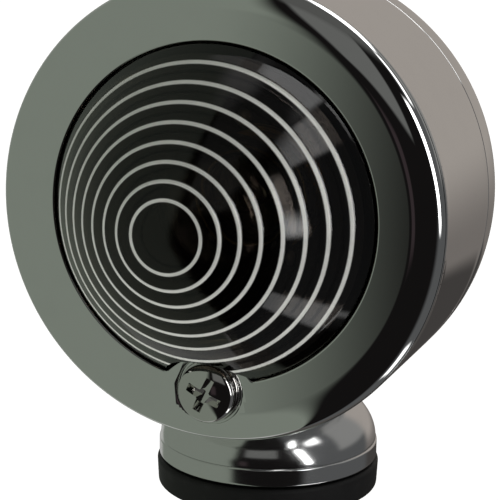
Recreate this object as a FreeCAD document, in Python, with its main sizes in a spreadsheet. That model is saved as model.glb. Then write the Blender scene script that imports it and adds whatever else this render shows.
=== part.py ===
import FreeCAD, Part
import math
import os
import Sketcher

# Round chrome lamp on a flared foot.  Millimetres, +Z up.  The origin is the centre of the rubber
# pad's underside, on the mounting stud's axis.  The lamp faces -Y.
#
# Two working frames are used.  Pieces on the stud are built where they stand.  Pieces on the lamp's
# own axis are built in the lamp frame (X right, Y down, Z back from the bezel's face) and are then
# turned and lifted onto the foot by lamp_placement().

doc = FreeCAD.newDocument("RoundLamp")
sheet = doc.addObject("Spreadsheet::Sheet", "Sizes")

SIZES = {
    # overall
    "housing_radius": 31.3,
    "drum_length": 27.0,        # bezel face to the start of the domed back
    "dome_depth": 19.6,
    "face_to_stud": 23.5,
    "drum_lift": 12.8,          # pad's underside to the drum's lowest line
    "housing_wall": 1.6,
    # clearances
    "fit_gap": 0.05,            # between pieces that are pressed, staked or screwed together
    "turn_gap": 0.15,           # between faces that slide past each other
    "loose_gap": 0.3,           # round pieces that only locate one another
    "thread_gap": 0.07,
    # bezel
    "opening_radius": 22.75,
    "face_corner": 0.6,         # the rim's tight corner, outside the face's gentle shoulder
    "bezel_thickness": 1.8,
    "bezel_rim": 3.1,           # face to the rim's back edge
    "shoulder_width": 3.7,
    "shoulder_radius": 5.8,
    "spigot_thickness": 1.1,
    "spigot_depth": 3.5,
    "lobe_radius": 7.6,
    "lobe_drop": 26.6,
    # bezel screw
    "screw_drop": 24.0,
    "screw_radius": 1.93,
    "screw_length": 12.0,
    "head_radius": 4.0,
    "head_height": 2.4,
    "recess_length": 4.6,
    "recess_width": 1.1,
    "recess_depth": 1.5,
    "washer_radius": 4.3,
    "washer_thickness": 0.5,
    "counterbore_depth": 0.6,
    # screw boss and insert in the housing
    "post_radius": 4.4,
    "post_floor": 2.0,          # solid end of the screw post, past the screw's tip
    "tip_gap": 0.4,
    "web_width": 5.0,
    "insert_radius": 3.2,
    "insert_length": 8.0,
    # lens
    "lens_height": 15.4,
    "lens_radius": 22.5,
    "lens_wall": 2.0,
    "lens_flange": 28.0,
    "flange_thickness": 1.75,
    "disc_radius": 4.7,
    "ring_pitch": 2.25,
    "riser_width": 0.35,
    "riser_height": 0.25,
    "bite_wall": 1.6,
    # gasket, ledge and reflector
    "gasket_thickness": 1.2,
    "gasket_width": 4.5,
    "gasket_outer": 29.3,
    "ledge_radius": 25.5,
    "ledge_thickness": 1.6,
    "reflector_sheet": 0.8,
    "reflector_mouth": 24.2,
    "reflector_floor": 20.0,    # bezel face to the reflector's flat floor
    "floor_radius": 12.0,
    # bulb socket
    "socket_bore": 7.7,
    "socket_wall": 0.7,
    "socket_mouth": 19.2,
    "socket_back": 42.5,
    "socket_flange": 11.6,
    "socket_lip": 6.2,
    "rivet_circle": 10.2,
    "rivet_radius": 0.7,
    "rivet_head": 1.15,
    "rivet_head_height": 0.5,
    "insulator_thickness": 0.8,
    # moving contact
    "press_travel": 2.0,
    "unlock_angle": 25.0,
    "button_radius": 2.6,
    "button_thickness": 0.8,
    "carrier_radius": 7.4,
    "carrier_thickness": 2.0,
    "terminal_radius": 1.0,
    "terminal_length": 5.7,
    "spring_radius": 5.2,
    "spring_wire": 0.32,
    # bulb
    "bulb_front": -3.0,         # bezel face to the tip of the glass
    "globe_radius": 9.5,
    "glass_wall": 0.8,
    "neck_radius": 6.8,
    "neck_length": 2.5,
    "cap_radius": 7.6,
    "cap_wall": 0.5,
    "cap_length": 15.0,
    "cap_hole": 5.0,
    "glass_to_cap": 17.5,       # tip of the glass to the cap's front edge
    "pin_radius": 1.0,
    "pin_reach": 8.6,
    "pin_to_back": 6.5,
    "solder_radius": 2.6,
    "base_cone": 2.5,
    "solder_height": 1.5,
    "stem_radius": 2.0,
    "filament_depth": 9.0,      # tip of the glass to the filament
    "filament_radius": 0.4,
    "post_spread": 3.0,
    "post_wire": 0.3,
    # stud and its nuts
    "stud_radius": 5.0,
    "stud_bore": 3.5,
    "stud_below": 22.0,
    "stud_above_nut": 3.0,
    "seat_drop": 27.2,          # lamp axis to the nut seat inside the housing
    "seat_radius": 8.6,
    "jam_nut_flats": 14.0,
    "jam_nut_height": 3.0,
    "tooth_washer_radius": 7.8,
    "tooth_washer_height": 1.0,
    "ferrule_wall": 1.2,
    "ferrule_grip": 2.4,
    "ferrule_hole": 3.0,
    # foot and pad
    "pad_radius": 16.3,
    "pad_thickness": 4.0,
    "foot_radius": 16.0,
    "foot_bead": 2.8,
    "bead_step": 0.15,          # how far the domed top stands in from the bead
    "neck_foot_radius": 10.6,
    "flare_top": 14.0,          # pad's underside to the top of the flare
    "foot_hollow": 9.6,
    "foot_land": 8.7,           # pad's underside to the land that the foot's nut bears on
    # fastening below the panel
    "panel_thickness": 2.5,
    "plain_washer_radius": 10.0,
    "plain_washer_height": 1.6,
    "lock_washer_radius": 8.7,
    "lock_washer_height": 2.2,
    "lock_washer_split": 1.2,
    "panel_nut_flats": 17.0,
    "panel_nut_height": 5.0,
}

RIVET_ANGLES = (70, 130, 250, 310)
CURVE_STEPS = 8
SPRING_HALF_TURNS = 6


class Size:
    """A length with the sheet formula that gives it, so that a bound property follows the sheet."""

    def __init__(self, number, formula):
        self.number = number
        self.formula = formula

    def __add__(self, other):
        other = as_size(other)
        return Size(self.number + other.number, "(%s + %s)" % (self.formula, other.formula))

    def __sub__(self, other):
        other = as_size(other)
        return Size(self.number - other.number, "(%s - %s)" % (self.formula, other.formula))

    def __mul__(self, other):
        other = as_size(other)
        return Size(self.number * other.number, "(%s * %s)" % (self.formula, other.formula))

    def __truediv__(self, other):
        other = as_size(other)
        return Size(self.number / other.number, "(%s / %s)" % (self.formula, other.formula))

    def __radd__(self, other):
        return as_size(other) + self

    def __rsub__(self, other):
        return as_size(other) - self

    def __rmul__(self, other):
        return as_size(other) * self

    def __neg__(self):
        return as_size(0) - self


def as_size(value):
    if isinstance(value, Size):
        return value
    return Size(float(value), "%.6f" % value if value >= 0 else "(0 - %.6f)" % -value)


def root(value):
    return Size(math.sqrt(value.number), "sqrt(%s)" % value.formula)


def slope(value):
    """The angle, in degrees, whose tangent is value."""
    return Size(math.degrees(math.atan(value.number)), "atan(%s)" % value.formula)


class Sheet:
    """The sheet's cells as attributes: S.housing_radius is the cell with that alias."""


def fill_sheet():
    named = Sheet()
    for row, (name, number) in enumerate(SIZES.items(), start=1):
        sheet.set("A%d" % row, name)
        sheet.set("B%d" % row, str(number))
        sheet.setAlias("B%d" % row, name)
        setattr(named, name, Size(number, "Sizes." + name))
    doc.recompute()
    return named


S = fill_sheet()


# ---- building blocks ------------------------------------------------------------------------------

def bind(thing, prop, value):
    thing.setExpression(prop, as_size(value).formula)


def put(thing, at, rotation=None):
    """Places a shape at a point of sheet sizes, turned by rotation."""
    numbers = [as_size(c).number for c in at]
    turn = rotation or FreeCAD.Rotation()
    thing.Placement = FreeCAD.Placement(FreeCAD.Vector(*numbers), turn)
    for axis, value in zip("xyz", at):
        bind(thing, "Placement.Base." + axis, value)
    return thing


TO_X = FreeCAD.Rotation(FreeCAD.Vector(0, 1, 0), 90)
TO_Y = FreeCAD.Rotation(FreeCAD.Vector(1, 0, 0), -90)


def cylinder(name, radius, length, at=(0, 0, 0), rotation=None):
    solid = doc.addObject("Part::Cylinder", name)
    bind(solid, "Radius", radius)
    bind(solid, "Height", length)
    return put(solid, at, rotation)


def cone(name, start, end, length, at=(0, 0, 0)):
    solid = doc.addObject("Part::Cone", name)
    bind(solid, "Radius1", start)
    bind(solid, "Radius2", end)
    bind(solid, "Height", length)
    return put(solid, at)


def box(name, across, deep, tall, at, rotation=None):
    solid = doc.addObject("Part::Box", name)
    bind(solid, "Length", across)
    bind(solid, "Width", deep)
    bind(solid, "Height", tall)
    return put(solid, at, rotation)


def half_ellipsoid(name, radius, depth, at):
    solid = doc.addObject("Part::Ellipsoid", name)
    bind(solid, "Radius1", depth)
    bind(solid, "Radius2", radius)
    bind(solid, "Radius3", radius)
    solid.Angle1 = 0
    return put(solid, at)


def sphere(name, radius, at):
    solid = doc.addObject("Part::Sphere", name)
    bind(solid, "Radius", radius)
    return put(solid, at)


def hexagon(name, flats, height, at):
    solid = doc.addObject("Part::Prism", name)
    solid.Polygon = 6
    bind(solid, "Circumradius", flats / math.sqrt(3))
    bind(solid, "Height", height)
    return put(solid, at)


def fuse(name, *solids):
    joined = doc.addObject("Part::MultiFuse", name)
    joined.Shapes = list(solids)
    joined.Refine = True
    return joined


def group(name, *solids):
    """Keeps separate solids together as one piece."""
    bundle = doc.addObject("Part::Compound", name)
    bundle.Links = list(solids)
    return bundle


def common(name, first, second):
    shared = doc.addObject("Part::MultiCommon", name)
    shared.Shapes = [first, second]
    return shared


def cut(name, base, *tools):
    """Takes each tool away from the base in turn."""
    for number, tool in enumerate(tools, start=1):
        result = doc.addObject("Part::Cut", "%s_%d" % (name, number))
        result.Base = base
        result.Tool = tool
        base = result
    return base


def ring(name, outer, inner, length, at=(0, 0, 0)):
    x, y, z = at
    body = cylinder(name + "_outer", outer, length, at)
    hole = cylinder(name + "_inner", inner, length + 2, (x, y, z - 1))
    return cut(name, body, hole)


def fix_point(sketch, line, end, corner):
    """Ties one end of a sketch line to its radius and height."""
    radius, height = (as_size(c) for c in corner)
    for kind, axis, value in (("DistanceX", -2, radius), ("DistanceY", -1, height)):
        if abs(value.number) < 1e-9:
            sketch.addConstraint(Sketcher.Constraint("PointOnObject", line, end, axis))
            continue
        number = sketch.addConstraint(Sketcher.Constraint(kind, -1, 1, line, end, value.number))
        sketch.setExpression("Constraints[%d]" % number, value.formula)


def turned(name, outline, at=(0, 0, 0)):
    """A body of revolution about Z.  The outline's corners are (radius, height) and it closes itself."""
    body = doc.addObject("PartDesign::Body", name)
    plane = [f for f in body.Origin.OriginFeatures if f.Role == "XZ_Plane"][0]
    sketch = body.newObject("Sketcher::SketchObject", name + "_outline")
    sketch.AttachmentSupport = [(plane, "")]
    sketch.MapMode = "FlatFace"
    points = [FreeCAD.Vector(as_size(r).number, as_size(h).number, 0) for r, h in outline]
    for start, end in zip(points, points[1:] + points[:1]):
        sketch.addGeometry(Part.LineSegment(start, end))
    count = len(points)
    for line in range(count):
        sketch.addConstraint(Sketcher.Constraint("Coincident", line, 2, (line + 1) % count, 1))
        fix_point(sketch, line, 1, outline[line])
    spin = body.newObject("PartDesign::Revolution", name + "_turn")
    spin.Profile = sketch
    spin.ReferenceAxis = (sketch, ["V_Axis"])
    spin.Angle = 360
    body.Tip = spin
    return put(body, at)


finished = {}


def finish(label, thing):
    thing.Label = label
    finished[label] = thing
    return thing


def lamp_placement(label, thing):
    """Turns a piece out of the lamp frame: depth runs along +Y and down runs along -Z."""
    put(thing, (0, -S.face_to_stud, axis_height), TO_Y)
    return finish(label, thing)


# ---- depths that several pieces share (lamp frame, behind the bezel's face) -------------------------

lens_flange_front = S.bezel_thickness + S.fit_gap
lens_flange_back = lens_flange_front + S.flange_thickness
gasket_front = lens_flange_back + 2 * S.fit_gap
reflector_front = gasket_front + S.gasket_thickness
ledge_front = reflector_front + S.reflector_sheet
housing_front = S.bezel_rim + 2 * S.fit_gap
housing_bore = S.housing_radius - S.housing_wall
axis_height = S.housing_radius + S.drum_lift
flat_radius = S.housing_radius - S.shoulder_width - S.face_corner
post_front = S.bezel_thickness + 2 * S.fit_gap
screw_tip = S.counterbore_depth - S.washer_thickness + S.screw_length
pilot_back = screw_tip + S.tip_gap
post_back = pilot_back + S.post_floor
bite_radius = S.lobe_radius + S.loose_gap + 0.1
lens_bore = S.lens_radius - S.lens_wall + 0.1
ring_count = int((S.lens_radius - S.disc_radius - S.riser_width).number / S.ring_pitch.number) + 1
floor_back = S.reflector_floor + S.reflector_sheet
cap_front = S.bulb_front + S.glass_to_cap
cap_back = cap_front + S.cap_length
solder_tip = cap_back + S.base_cone + S.solder_height
carrier_front = solder_tip + S.button_thickness
carrier_back = carrier_front + S.carrier_thickness
lip_front = S.socket_back - S.socket_wall
spring_back = lip_front - S.insulator_thickness


# ---- housing ---------------------------------------------------------------------------------------

def housing_form(name, inset, front):
    """The drum and its domed back as one solid, inset from the outer surface."""
    radius = S.housing_radius - inset
    drum = cylinder(name + "_drum", radius, S.drum_length - front, (0, 0, front))
    dome = half_ellipsoid(name + "_dome", radius, S.dome_depth - inset, (0, 0, S.drum_length))
    return fuse(name, drum, dome)


def make_housing():
    outer = housing_form("housing_outer", as_size(0), housing_front)
    inner = housing_form("housing_inner", S.housing_wall, as_size(0))
    shell = cut("housing_shell", outer, inner)
    ledge = ring(
        "housing_ledge", S.housing_radius - S.housing_wall / 2, S.ledge_radius,
        S.ledge_thickness, (0, 0, ledge_front),
    )
    post = cylinder("screw_post", S.post_radius, post_back - post_front, (0, S.screw_drop, post_front))
    web_length = post_back - ledge_front
    web_reach = S.housing_radius - S.housing_wall / 2 - S.screw_drop
    web = box("screw_web", S.web_width, web_reach, web_length, (-S.web_width / 2, S.screw_drop, ledge_front))
    seat_length = root(S.housing_radius * S.housing_radius - S.seat_radius * S.seat_radius)
    seat_length = seat_length - S.seat_drop - S.housing_wall / 4
    seat = cylinder("nut_seat", S.seat_radius, seat_length, (0, S.seat_drop, S.face_to_stud), TO_Y)
    body = fuse("housing_body", shell, ledge, post, web, seat)
    stud_hole = cylinder(
        "housing_stud_hole", S.stud_radius + S.loose_gap / 3, S.housing_radius,
        (0, S.seat_drop - 1, S.face_to_stud), TO_Y,
    )
    insert_hole = cylinder(
        "insert_hole", S.insert_radius + S.fit_gap, S.insert_length + S.fit_gap,
        (0, S.screw_drop, post_front),
    )
    pilot = cylinder(
        "screw_pilot", S.screw_radius + S.loose_gap, pilot_back - post_front, (0, S.screw_drop, post_front),
    )
    lamp_placement("housing", cut("housing_cut", body, stud_hole, insert_hole, pilot))


def make_screw_insert():
    """Brass threaded insert that the bezel screw runs into."""
    insert = ring(
        "insert", S.insert_radius, S.screw_radius + S.thread_gap, S.insert_length,
        (0, S.screw_drop, post_front),
    )
    lamp_placement("screw_insert", insert)


# ---- bezel and its screw -----------------------------------------------------------------------------

def shoulder_points():
    """The gentle arc that rolls the bezel's face over, as points of a circle tangent to the face."""
    points = []
    for step in range(1, CURVE_STEPS + 1):
        out = S.shoulder_width * (step / CURVE_STEPS)
        drop = S.shoulder_radius - root(S.shoulder_radius * S.shoulder_radius - out * out)
        points.append((flat_radius + out, drop))
    return points


def make_bezel():
    spigot_outer = housing_bore - S.loose_gap
    shoulder = shoulder_points()
    corner = S.face_corner
    outline = [(S.opening_radius, 0), (flat_radius, 0)]
    outline += shoulder
    outline += [
        (shoulder[-1][0] + corner * 0.7, shoulder[-1][1] + corner * 0.75),
        (S.housing_radius, shoulder[-1][1] + corner * 1.7),
        (S.housing_radius, S.bezel_rim),
        (spigot_outer, S.bezel_rim),
        (spigot_outer, S.spigot_depth),
        (spigot_outer - S.spigot_thickness, S.spigot_depth),
        (spigot_outer - S.spigot_thickness, S.bezel_thickness),
        (S.opening_radius, S.bezel_thickness),
    ]
    rim = turned("bezel_ring", outline)
    lobe = common(
        "bezel_lobe",
        cylinder("lobe_disc", S.lobe_radius, S.bezel_thickness, (0, S.lobe_drop, 0)),
        cylinder("lobe_limit", flat_radius, S.bezel_thickness),
    )
    notch_width = 2 * (S.post_radius + S.loose_gap)
    notch = box(
        "spigot_notch", notch_width, housing_bore - S.screw_drop, S.spigot_depth,
        (-notch_width / 2, S.screw_drop, S.bezel_thickness),
    )
    notch_limit = cylinder("notch_limit", spigot_outer + S.fit_gap, S.spigot_depth, (0, 0, S.bezel_thickness))
    hole = cylinder("bezel_screw_hole", S.screw_radius + S.loose_gap, S.bezel_rim, (0, S.screw_drop, -0.5))
    counterbore = cylinder(
        "bezel_counterbore", S.washer_radius + S.loose_gap, S.counterbore_depth + 1,
        (0, S.screw_drop, -1),
    )
    body = fuse("bezel_body", rim, lobe)
    notch = common("spigot_notch_inside", notch, notch_limit)
    lamp_placement("bezel", cut("bezel_cut", body, notch, hole, counterbore))


def make_screw_washer():
    washer = ring(
        "seal", S.washer_radius, S.screw_radius + 2 * S.fit_gap, S.washer_thickness,
        (0, S.screw_drop, S.counterbore_depth - S.washer_thickness),
    )
    lamp_placement("screw_washer", washer)


def make_bezel_screw():
    head_base = S.counterbore_depth - S.washer_thickness
    outline = [(0, 0)]
    for step in range(1, CURVE_STEPS):
        angle = math.pi / 2 * step / CURVE_STEPS
        outline.append((S.head_radius * math.sin(angle), S.head_height * 0.55 * (1 - math.cos(angle))))
    outline += [
        (S.head_radius, S.head_height * 0.55),
        (S.head_radius, S.head_height),
        (S.screw_radius, S.head_height),
        (S.screw_radius, S.head_height + S.screw_length - 1),
        (S.screw_radius * 0.6, S.head_height + S.screw_length),
        (0, S.head_height + S.screw_length),
    ]
    at = (0, S.screw_drop, head_base - S.head_height)
    blank = turned("screw_blank", outline, at)
    x, y, z = at
    half = S.recess_length / 2
    width = S.recess_width
    first = box("recess_across", S.recess_length, width, S.recess_depth + 1, (-half, y - width / 2, z - 1))
    second = box("recess_down", width, S.recess_length, S.recess_depth + 1, (-width / 2, y - half, z - 1))
    lamp_placement("bezel_screw", cut("screw_cut", blank, first, second))


# ---- lens ----------------------------------------------------------------------------------------------

def lens_drop(radius):
    """How far the outer surface has fallen behind the lens's tip at a radius: a paraboloid."""
    share = radius / S.lens_radius
    return S.lens_height * share * share


def lens_outer_outline():
    flange_front = S.lens_height + lens_flange_front
    flange_back = S.lens_height + lens_flange_back
    outline = [(0, 0)]
    for number in range(ring_count):
        edge = S.disc_radius + S.ring_pitch * number
        crest = lens_drop(edge) - S.riser_height if number else as_size(0)
        outline.append((edge, crest))
        outline.append((edge + S.riser_width, lens_drop(edge) + S.riser_height / 6))
    outline += [
        (S.lens_radius, S.lens_height),
        (S.lens_radius, flange_front),
        (S.lens_flange, flange_front),
        (S.lens_flange, flange_back),
        (0, flange_back),
    ]
    return outline


def lens_inner_outline():
    outline = [(0, S.lens_wall)]
    for step in range(1, CURVE_STEPS + 1):
        share = step / CURVE_STEPS
        drop = S.lens_wall + (S.lens_height - S.lens_wall) * share ** 2
        outline.append((lens_bore * share, drop))
    outline += [
        (lens_bore, S.lens_height + lens_flange_back + 1),
        (0, S.lens_height + lens_flange_back + 1),
    ]
    return outline


def lens_bite(name, radius):
    length = S.lens_height + lens_flange_back + 4
    return cylinder(name, radius, length, (0, S.lobe_drop, -S.lens_height - 1))


def make_lens():
    tip = (0, 0, -S.lens_height)
    outer = cut("lens_outer", turned("lens_dome", lens_outer_outline(), tip), lens_bite("lens_bite", bite_radius))
    hollow = turned("lens_hollow", lens_inner_outline(), tip)
    inner = cut("lens_inner", hollow, lens_bite("lens_bite_wall", bite_radius + S.bite_wall))
    lamp_placement("lens", cut("lens_cut", outer, inner))


# ---- gasket and reflector -------------------------------------------------------------------------------

def bite_plate(name, thickness, depth, outer):
    """The flat lobe, round the screw post, that carries the lens's bite wall."""
    plate = cylinder(name + "_disc", bite_radius + S.bite_wall + S.loose_gap, thickness, (0, S.lobe_drop, depth))
    limit = cylinder(name + "_limit", outer, thickness, (0, 0, depth))
    return common(name, plate, limit)


def post_hole(name, length, depth):
    return cylinder(name, S.post_radius + S.loose_gap, length, (0, S.screw_drop, depth))


def make_gasket():
    inner = S.gasket_outer - S.gasket_width
    band = ring("gasket_band", S.gasket_outer, inner, S.gasket_thickness, (0, 0, gasket_front))
    lobe = bite_plate("gasket_lobe", S.gasket_thickness, gasket_front, S.gasket_outer)
    body = fuse("gasket_body", band, lobe)
    hole = post_hole("gasket_post_hole", S.gasket_thickness + 2, gasket_front - 1)
    lamp_placement("lens_gasket", cut("gasket_cut", body, hole))


def dish_points(thickness):
    """The reflector's parabola from the mouth to the floor, moved out by thickness."""
    mouth = S.reflector_mouth
    floor = S.floor_radius
    points = []
    for step in range(CURVE_STEPS + 1):
        share = step / CURVE_STEPS
        radius = root(mouth * mouth - (mouth * mouth - floor * floor) * share)
        depth = reflector_front + (S.reflector_floor - reflector_front) * share
        points.append((radius + thickness, depth + thickness))
    return points


def make_reflector():
    hole = S.socket_bore + S.socket_wall + S.loose_gap
    outline = [(S.gasket_outer, reflector_front)]
    outline += dish_points(as_size(0))
    outline += [(hole, S.reflector_floor), (hole, floor_back)]
    outline += reversed(dish_points(S.reflector_sheet))
    outline += [(S.gasket_outer, ledge_front)]
    dish = turned("reflector_dish", outline)
    shelf = bite_plate("reflector_shelf", S.reflector_sheet, reflector_front, S.gasket_outer)
    post = post_hole("reflector_post_hole", S.reflector_floor, reflector_front - 1)
    slot_width = S.web_width + 2 * S.loose_gap
    web_slot = box(
        "reflector_web_slot", slot_width, housing_bore - S.screw_drop, post_back - ledge_front,
        (-slot_width / 2, S.screw_drop, ledge_front),
    )
    tools = [post, web_slot]
    tools += rivet_holes("reflector")
    lamp_placement("reflector", cut("reflector_cut", fuse("reflector_body", dish, shelf), *tools))


# ---- bulb socket ------------------------------------------------------------------------------------------

def rivet_spots():
    for angle in RIVET_ANGLES:
        turn = math.radians(angle)
        yield angle, S.rivet_circle * math.cos(turn), S.rivet_circle * math.sin(turn)


def rivet_holes(owner):
    radius = S.rivet_radius + S.fit_gap
    start = S.reflector_floor - 1
    length = S.reflector_sheet + S.socket_wall + 2
    return [
        cylinder("%s_rivet_hole_%d" % (owner, angle), radius, length, (x, y, start))
        for angle, x, y in rivet_spots()
    ]


def bayonet_window(name, start_angle):
    """The opening that lets a pin press in and turn to the entry slot."""
    wedge = doc.addObject("Part::Cylinder", name)
    side = math.degrees(math.asin((S.pin_radius.number + S.loose_gap.number) / S.socket_bore.number))
    window_front = cap_back - S.pin_to_back - S.pin_radius - S.turn_gap
    bind(wedge, "Radius", S.pin_reach + 1)
    bind(wedge, "Height", 2 * (S.pin_radius + S.turn_gap) + S.press_travel)
    bind(wedge, "Angle", S.unlock_angle + 2 * side)
    turn = FreeCAD.Rotation(FreeCAD.Vector(0, 0, 1), start_angle - side)
    return put(wedge, (0, 0, window_front), turn)


def entry_slot():
    """The straight slot, open at the mouth, that both pins come in by."""
    width = 2 * (S.pin_radius + S.loose_gap)
    length = 2 * (S.pin_reach + 1)
    angle = S.unlock_angle.number
    turn = FreeCAD.Rotation(FreeCAD.Vector(0, 0, 1), angle)
    height = cap_back - S.pin_to_back + S.pin_radius + S.turn_gap + S.press_travel - S.socket_mouth + 1
    slot = doc.addObject("Part::Box", "entry_slot")
    bind(slot, "Length", length)
    bind(slot, "Width", width)
    bind(slot, "Height", height)
    corner_x = width / 2 * math.sin(math.radians(angle)) - length / 2 * math.cos(math.radians(angle))
    corner_y = -(width / 2) * math.cos(math.radians(angle)) - length / 2 * math.sin(math.radians(angle))
    return put(slot, (corner_x, corner_y, S.socket_mouth - 1), turn)


def make_socket_shell():
    outer = S.socket_bore + S.socket_wall
    outline = [
        (S.socket_bore, S.socket_mouth),
        (outer, S.socket_mouth),
        (outer, floor_back + S.fit_gap),
        (S.socket_flange, floor_back + S.fit_gap),
        (S.socket_flange, floor_back + S.fit_gap + S.socket_wall),
        (outer, floor_back + S.fit_gap + S.socket_wall),
        (outer, S.socket_back),
        (S.socket_lip, S.socket_back),
        (S.socket_lip, lip_front),
        (S.socket_bore, lip_front),
    ]
    tube = turned("socket_tube", outline)
    tools = [entry_slot(), bayonet_window("window_right", 0), bayonet_window("window_left", 180)]
    tools += rivet_holes("socket")
    lamp_placement("socket_shell", cut("socket_cut", tube, *tools))


def make_socket_rivets():
    rivets = []
    tail_front = floor_back + S.fit_gap + S.socket_wall
    for angle, x, y in rivet_spots():
        name = "rivet_%d" % angle
        shank_front = S.reflector_floor - S.rivet_head_height
        shank_length = tail_front + S.rivet_head_height - shank_front
        shank = cylinder(name + "_shank", S.rivet_radius, shank_length, (x, y, shank_front))
        head = cylinder(name + "_head", S.rivet_head, S.rivet_head_height, (x, y, shank_front))
        tail = cylinder(name + "_tail", S.rivet_head, S.rivet_head_height, (x, y, tail_front))
        rivets.append(fuse(name, shank, head, tail))
    lamp_placement("socket_rivets", group("rivet_group", *rivets))


def make_rear_insulator():
    disc = ring(
        "rear_disc", S.socket_bore - S.fit_gap, S.terminal_radius + 1.5, S.insulator_thickness - S.fit_gap,
        (0, 0, spring_back),
    )
    lamp_placement("rear_insulator", disc)


def make_contact_spring():
    """Wire coil of half turns that each climb half a pitch and meet end to end along the wire."""
    first = carrier_back + S.spring_wire + S.fit_gap
    climb = (spring_back - S.spring_wire - S.fit_gap - first) / SPRING_HALF_TURNS
    rise = climb / 2
    halves = []
    for number in range(SPRING_HALF_TURNS):
        half = doc.addObject("Part::Torus", "spring_half_%d" % number)
        bind(half, "Radius1", root(S.spring_radius * S.spring_radius + rise * rise))
        bind(half, "Radius2", S.spring_wire)
        half.Angle3 = 180
        side = number % 2
        put(half, (0, 0, 0), FreeCAD.Rotation(FreeCAD.Vector(0, 0, 1), 180 * side))
        tilted = group("spring_turn_%d" % number, half)
        tilt = slope(rise / S.spring_radius)
        leaning = FreeCAD.Vector(0, 1 - 2 * side, 0)
        put(tilted, (0, 0, first + climb * (number + 0.5)), FreeCAD.Rotation(leaning, tilt.number))
        bind(tilted, "Placement.Rotation.Angle", tilt)
        halves.append(tilted)
    lamp_placement("contact_spring", group("spring_group", fuse("spring_coil", *halves)))


def make_contact_carrier():
    disc = ring(
        "carrier_disc", S.carrier_radius, S.terminal_radius + S.fit_gap, S.carrier_thickness,
        (0, 0, carrier_front),
    )
    lamp_placement("contact_carrier", disc)


def make_contact_button():
    """The brass button, with the terminal post that runs back through the carrier."""
    button = cylinder("button_face", S.button_radius, S.button_thickness, (0, 0, solder_tip))
    post = cylinder(
        "button_post", S.terminal_radius, S.button_thickness / 2 + S.carrier_thickness + S.terminal_length,
        (0, 0, carrier_front - S.button_thickness / 2),
    )
    lamp_placement("contact_button", fuse("button_body", button, post))


# ---- bulb -----------------------------------------------------------------------------------------------------

def make_bulb_glass():
    centre = S.bulb_front + S.globe_radius
    neck_end = cap_front + S.neck_length
    outer = fuse(
        "glass_outer",
        sphere("globe_outer", S.globe_radius, (0, 0, centre)),
        cylinder("neck_outer", S.neck_radius, neck_end - centre, (0, 0, centre)),
    )
    inner = fuse(
        "glass_inner",
        sphere("globe_inner", S.globe_radius - S.glass_wall, (0, 0, centre)),
        cylinder("neck_inner", S.neck_radius - S.glass_wall, neck_end - centre + 1, (0, 0, centre)),
    )
    lamp_placement("bulb_glass", cut("glass_cut", outer, inner))


def make_bulb_cap():
    inner = S.cap_radius - S.cap_wall
    chamfer = S.cap_radius - S.cap_hole - 1
    outline = [
        (inner, cap_front),
        (S.cap_radius, cap_front),
        (S.cap_radius, cap_back - chamfer / 2),
        (S.cap_hole + 1, cap_back),
        (S.cap_hole, cap_back),
        (S.cap_hole, cap_back - S.cap_wall),
        (inner, cap_back - chamfer / 2 - S.cap_wall),
    ]
    shell = turned("cap_shell", outline)
    hole = cylinder(
        "cap_pin_hole", S.pin_radius + S.fit_gap, 2 * S.pin_reach,
        (-S.pin_reach, 0, cap_back - S.pin_to_back), TO_X,
    )
    lamp_placement("bulb_cap", cut("cap_cut", shell, hole))


def make_bayonet_pins():
    start = S.cap_radius - S.cap_wall - 0.6
    length = S.pin_reach - start
    depth = cap_back - S.pin_to_back
    right = cylinder("pin_right", S.pin_radius, length, (start, 0, depth), TO_X)
    left = cylinder("pin_left", S.pin_radius, length, (-S.pin_reach, 0, depth), TO_X)
    lamp_placement("bayonet_pins", group("pin_group", right, left))


def make_cap_insulator():
    plug = cylinder("insulator_plug", S.cap_hole - S.fit_gap, 2, (0, 0, cap_back - 2))
    taper = cone("insulator_taper", S.cap_hole - S.fit_gap, S.solder_radius + 0.4, S.base_cone, (0, 0, cap_back))
    lamp_placement("cap_insulator", fuse("cap_insulator_body", plug, taper))


def make_solder_contact():
    drop = cone("solder_drop", S.solder_radius, S.solder_radius / 2, S.solder_height, (0, 0, cap_back + S.base_cone))
    lamp_placement("solder_contact", group("solder_group", drop))


def make_glass_stem():
    """The glass stem that carries the filament's wires, with the disc that closes the neck."""
    top = S.bulb_front + S.filament_depth + 4
    disc_front = cap_front + S.neck_length - 1
    stem = cylinder("stem_rod", S.stem_radius, disc_front - top, (0, 0, top))
    disc = cylinder("stem_disc", S.neck_radius - S.glass_wall - S.fit_gap, 1, (0, 0, disc_front))
    lamp_placement("glass_stem", fuse("stem_body", stem, disc))


def make_filament_posts():
    start = S.bulb_front + S.filament_depth - S.filament_radius
    length = cap_front + S.neck_length - 1 - S.fit_gap - start
    posts = [
        cylinder("filament_post_%s" % side, S.post_wire, length, (sign * S.post_spread, 0, start))
        for side, sign in (("right", 1), ("left", -1))
    ]
    lamp_placement("filament_posts", group("post_group", *posts))


def make_filament():
    reach = S.post_spread - S.post_wire - S.fit_gap
    depth = S.bulb_front + S.filament_depth
    coil = cylinder("filament_coil", S.filament_radius, 2 * reach, (-reach, 0, depth), TO_X)
    lamp_placement("filament", group("filament_group", coil))


# ---- stud, foot and pad ----------------------------------------------------------------------------------------

seat_height = axis_height - S.seat_drop
nut_base = seat_height + S.tooth_washer_height
stud_top = nut_base + S.jam_nut_height + S.stud_above_nut


def nut(name, flats, height, base):
    blank = hexagon(name + "_blank", flats, height, (0, 0, base))
    limit = cylinder(name + "_chamfer", flats * 0.56, height, (0, 0, base))
    hole = cylinder(name + "_thread", S.stud_radius + S.thread_gap, height + 2, (0, 0, base - 1))
    return cut(name, common(name + "_rounded", blank, limit), hole)


def make_mounting_stud():
    stud = ring("stud", S.stud_radius, S.stud_bore, S.stud_below + stud_top, (0, 0, -S.stud_below))
    finish("mounting_stud", put(stud, (0, 0, 0)))


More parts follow.
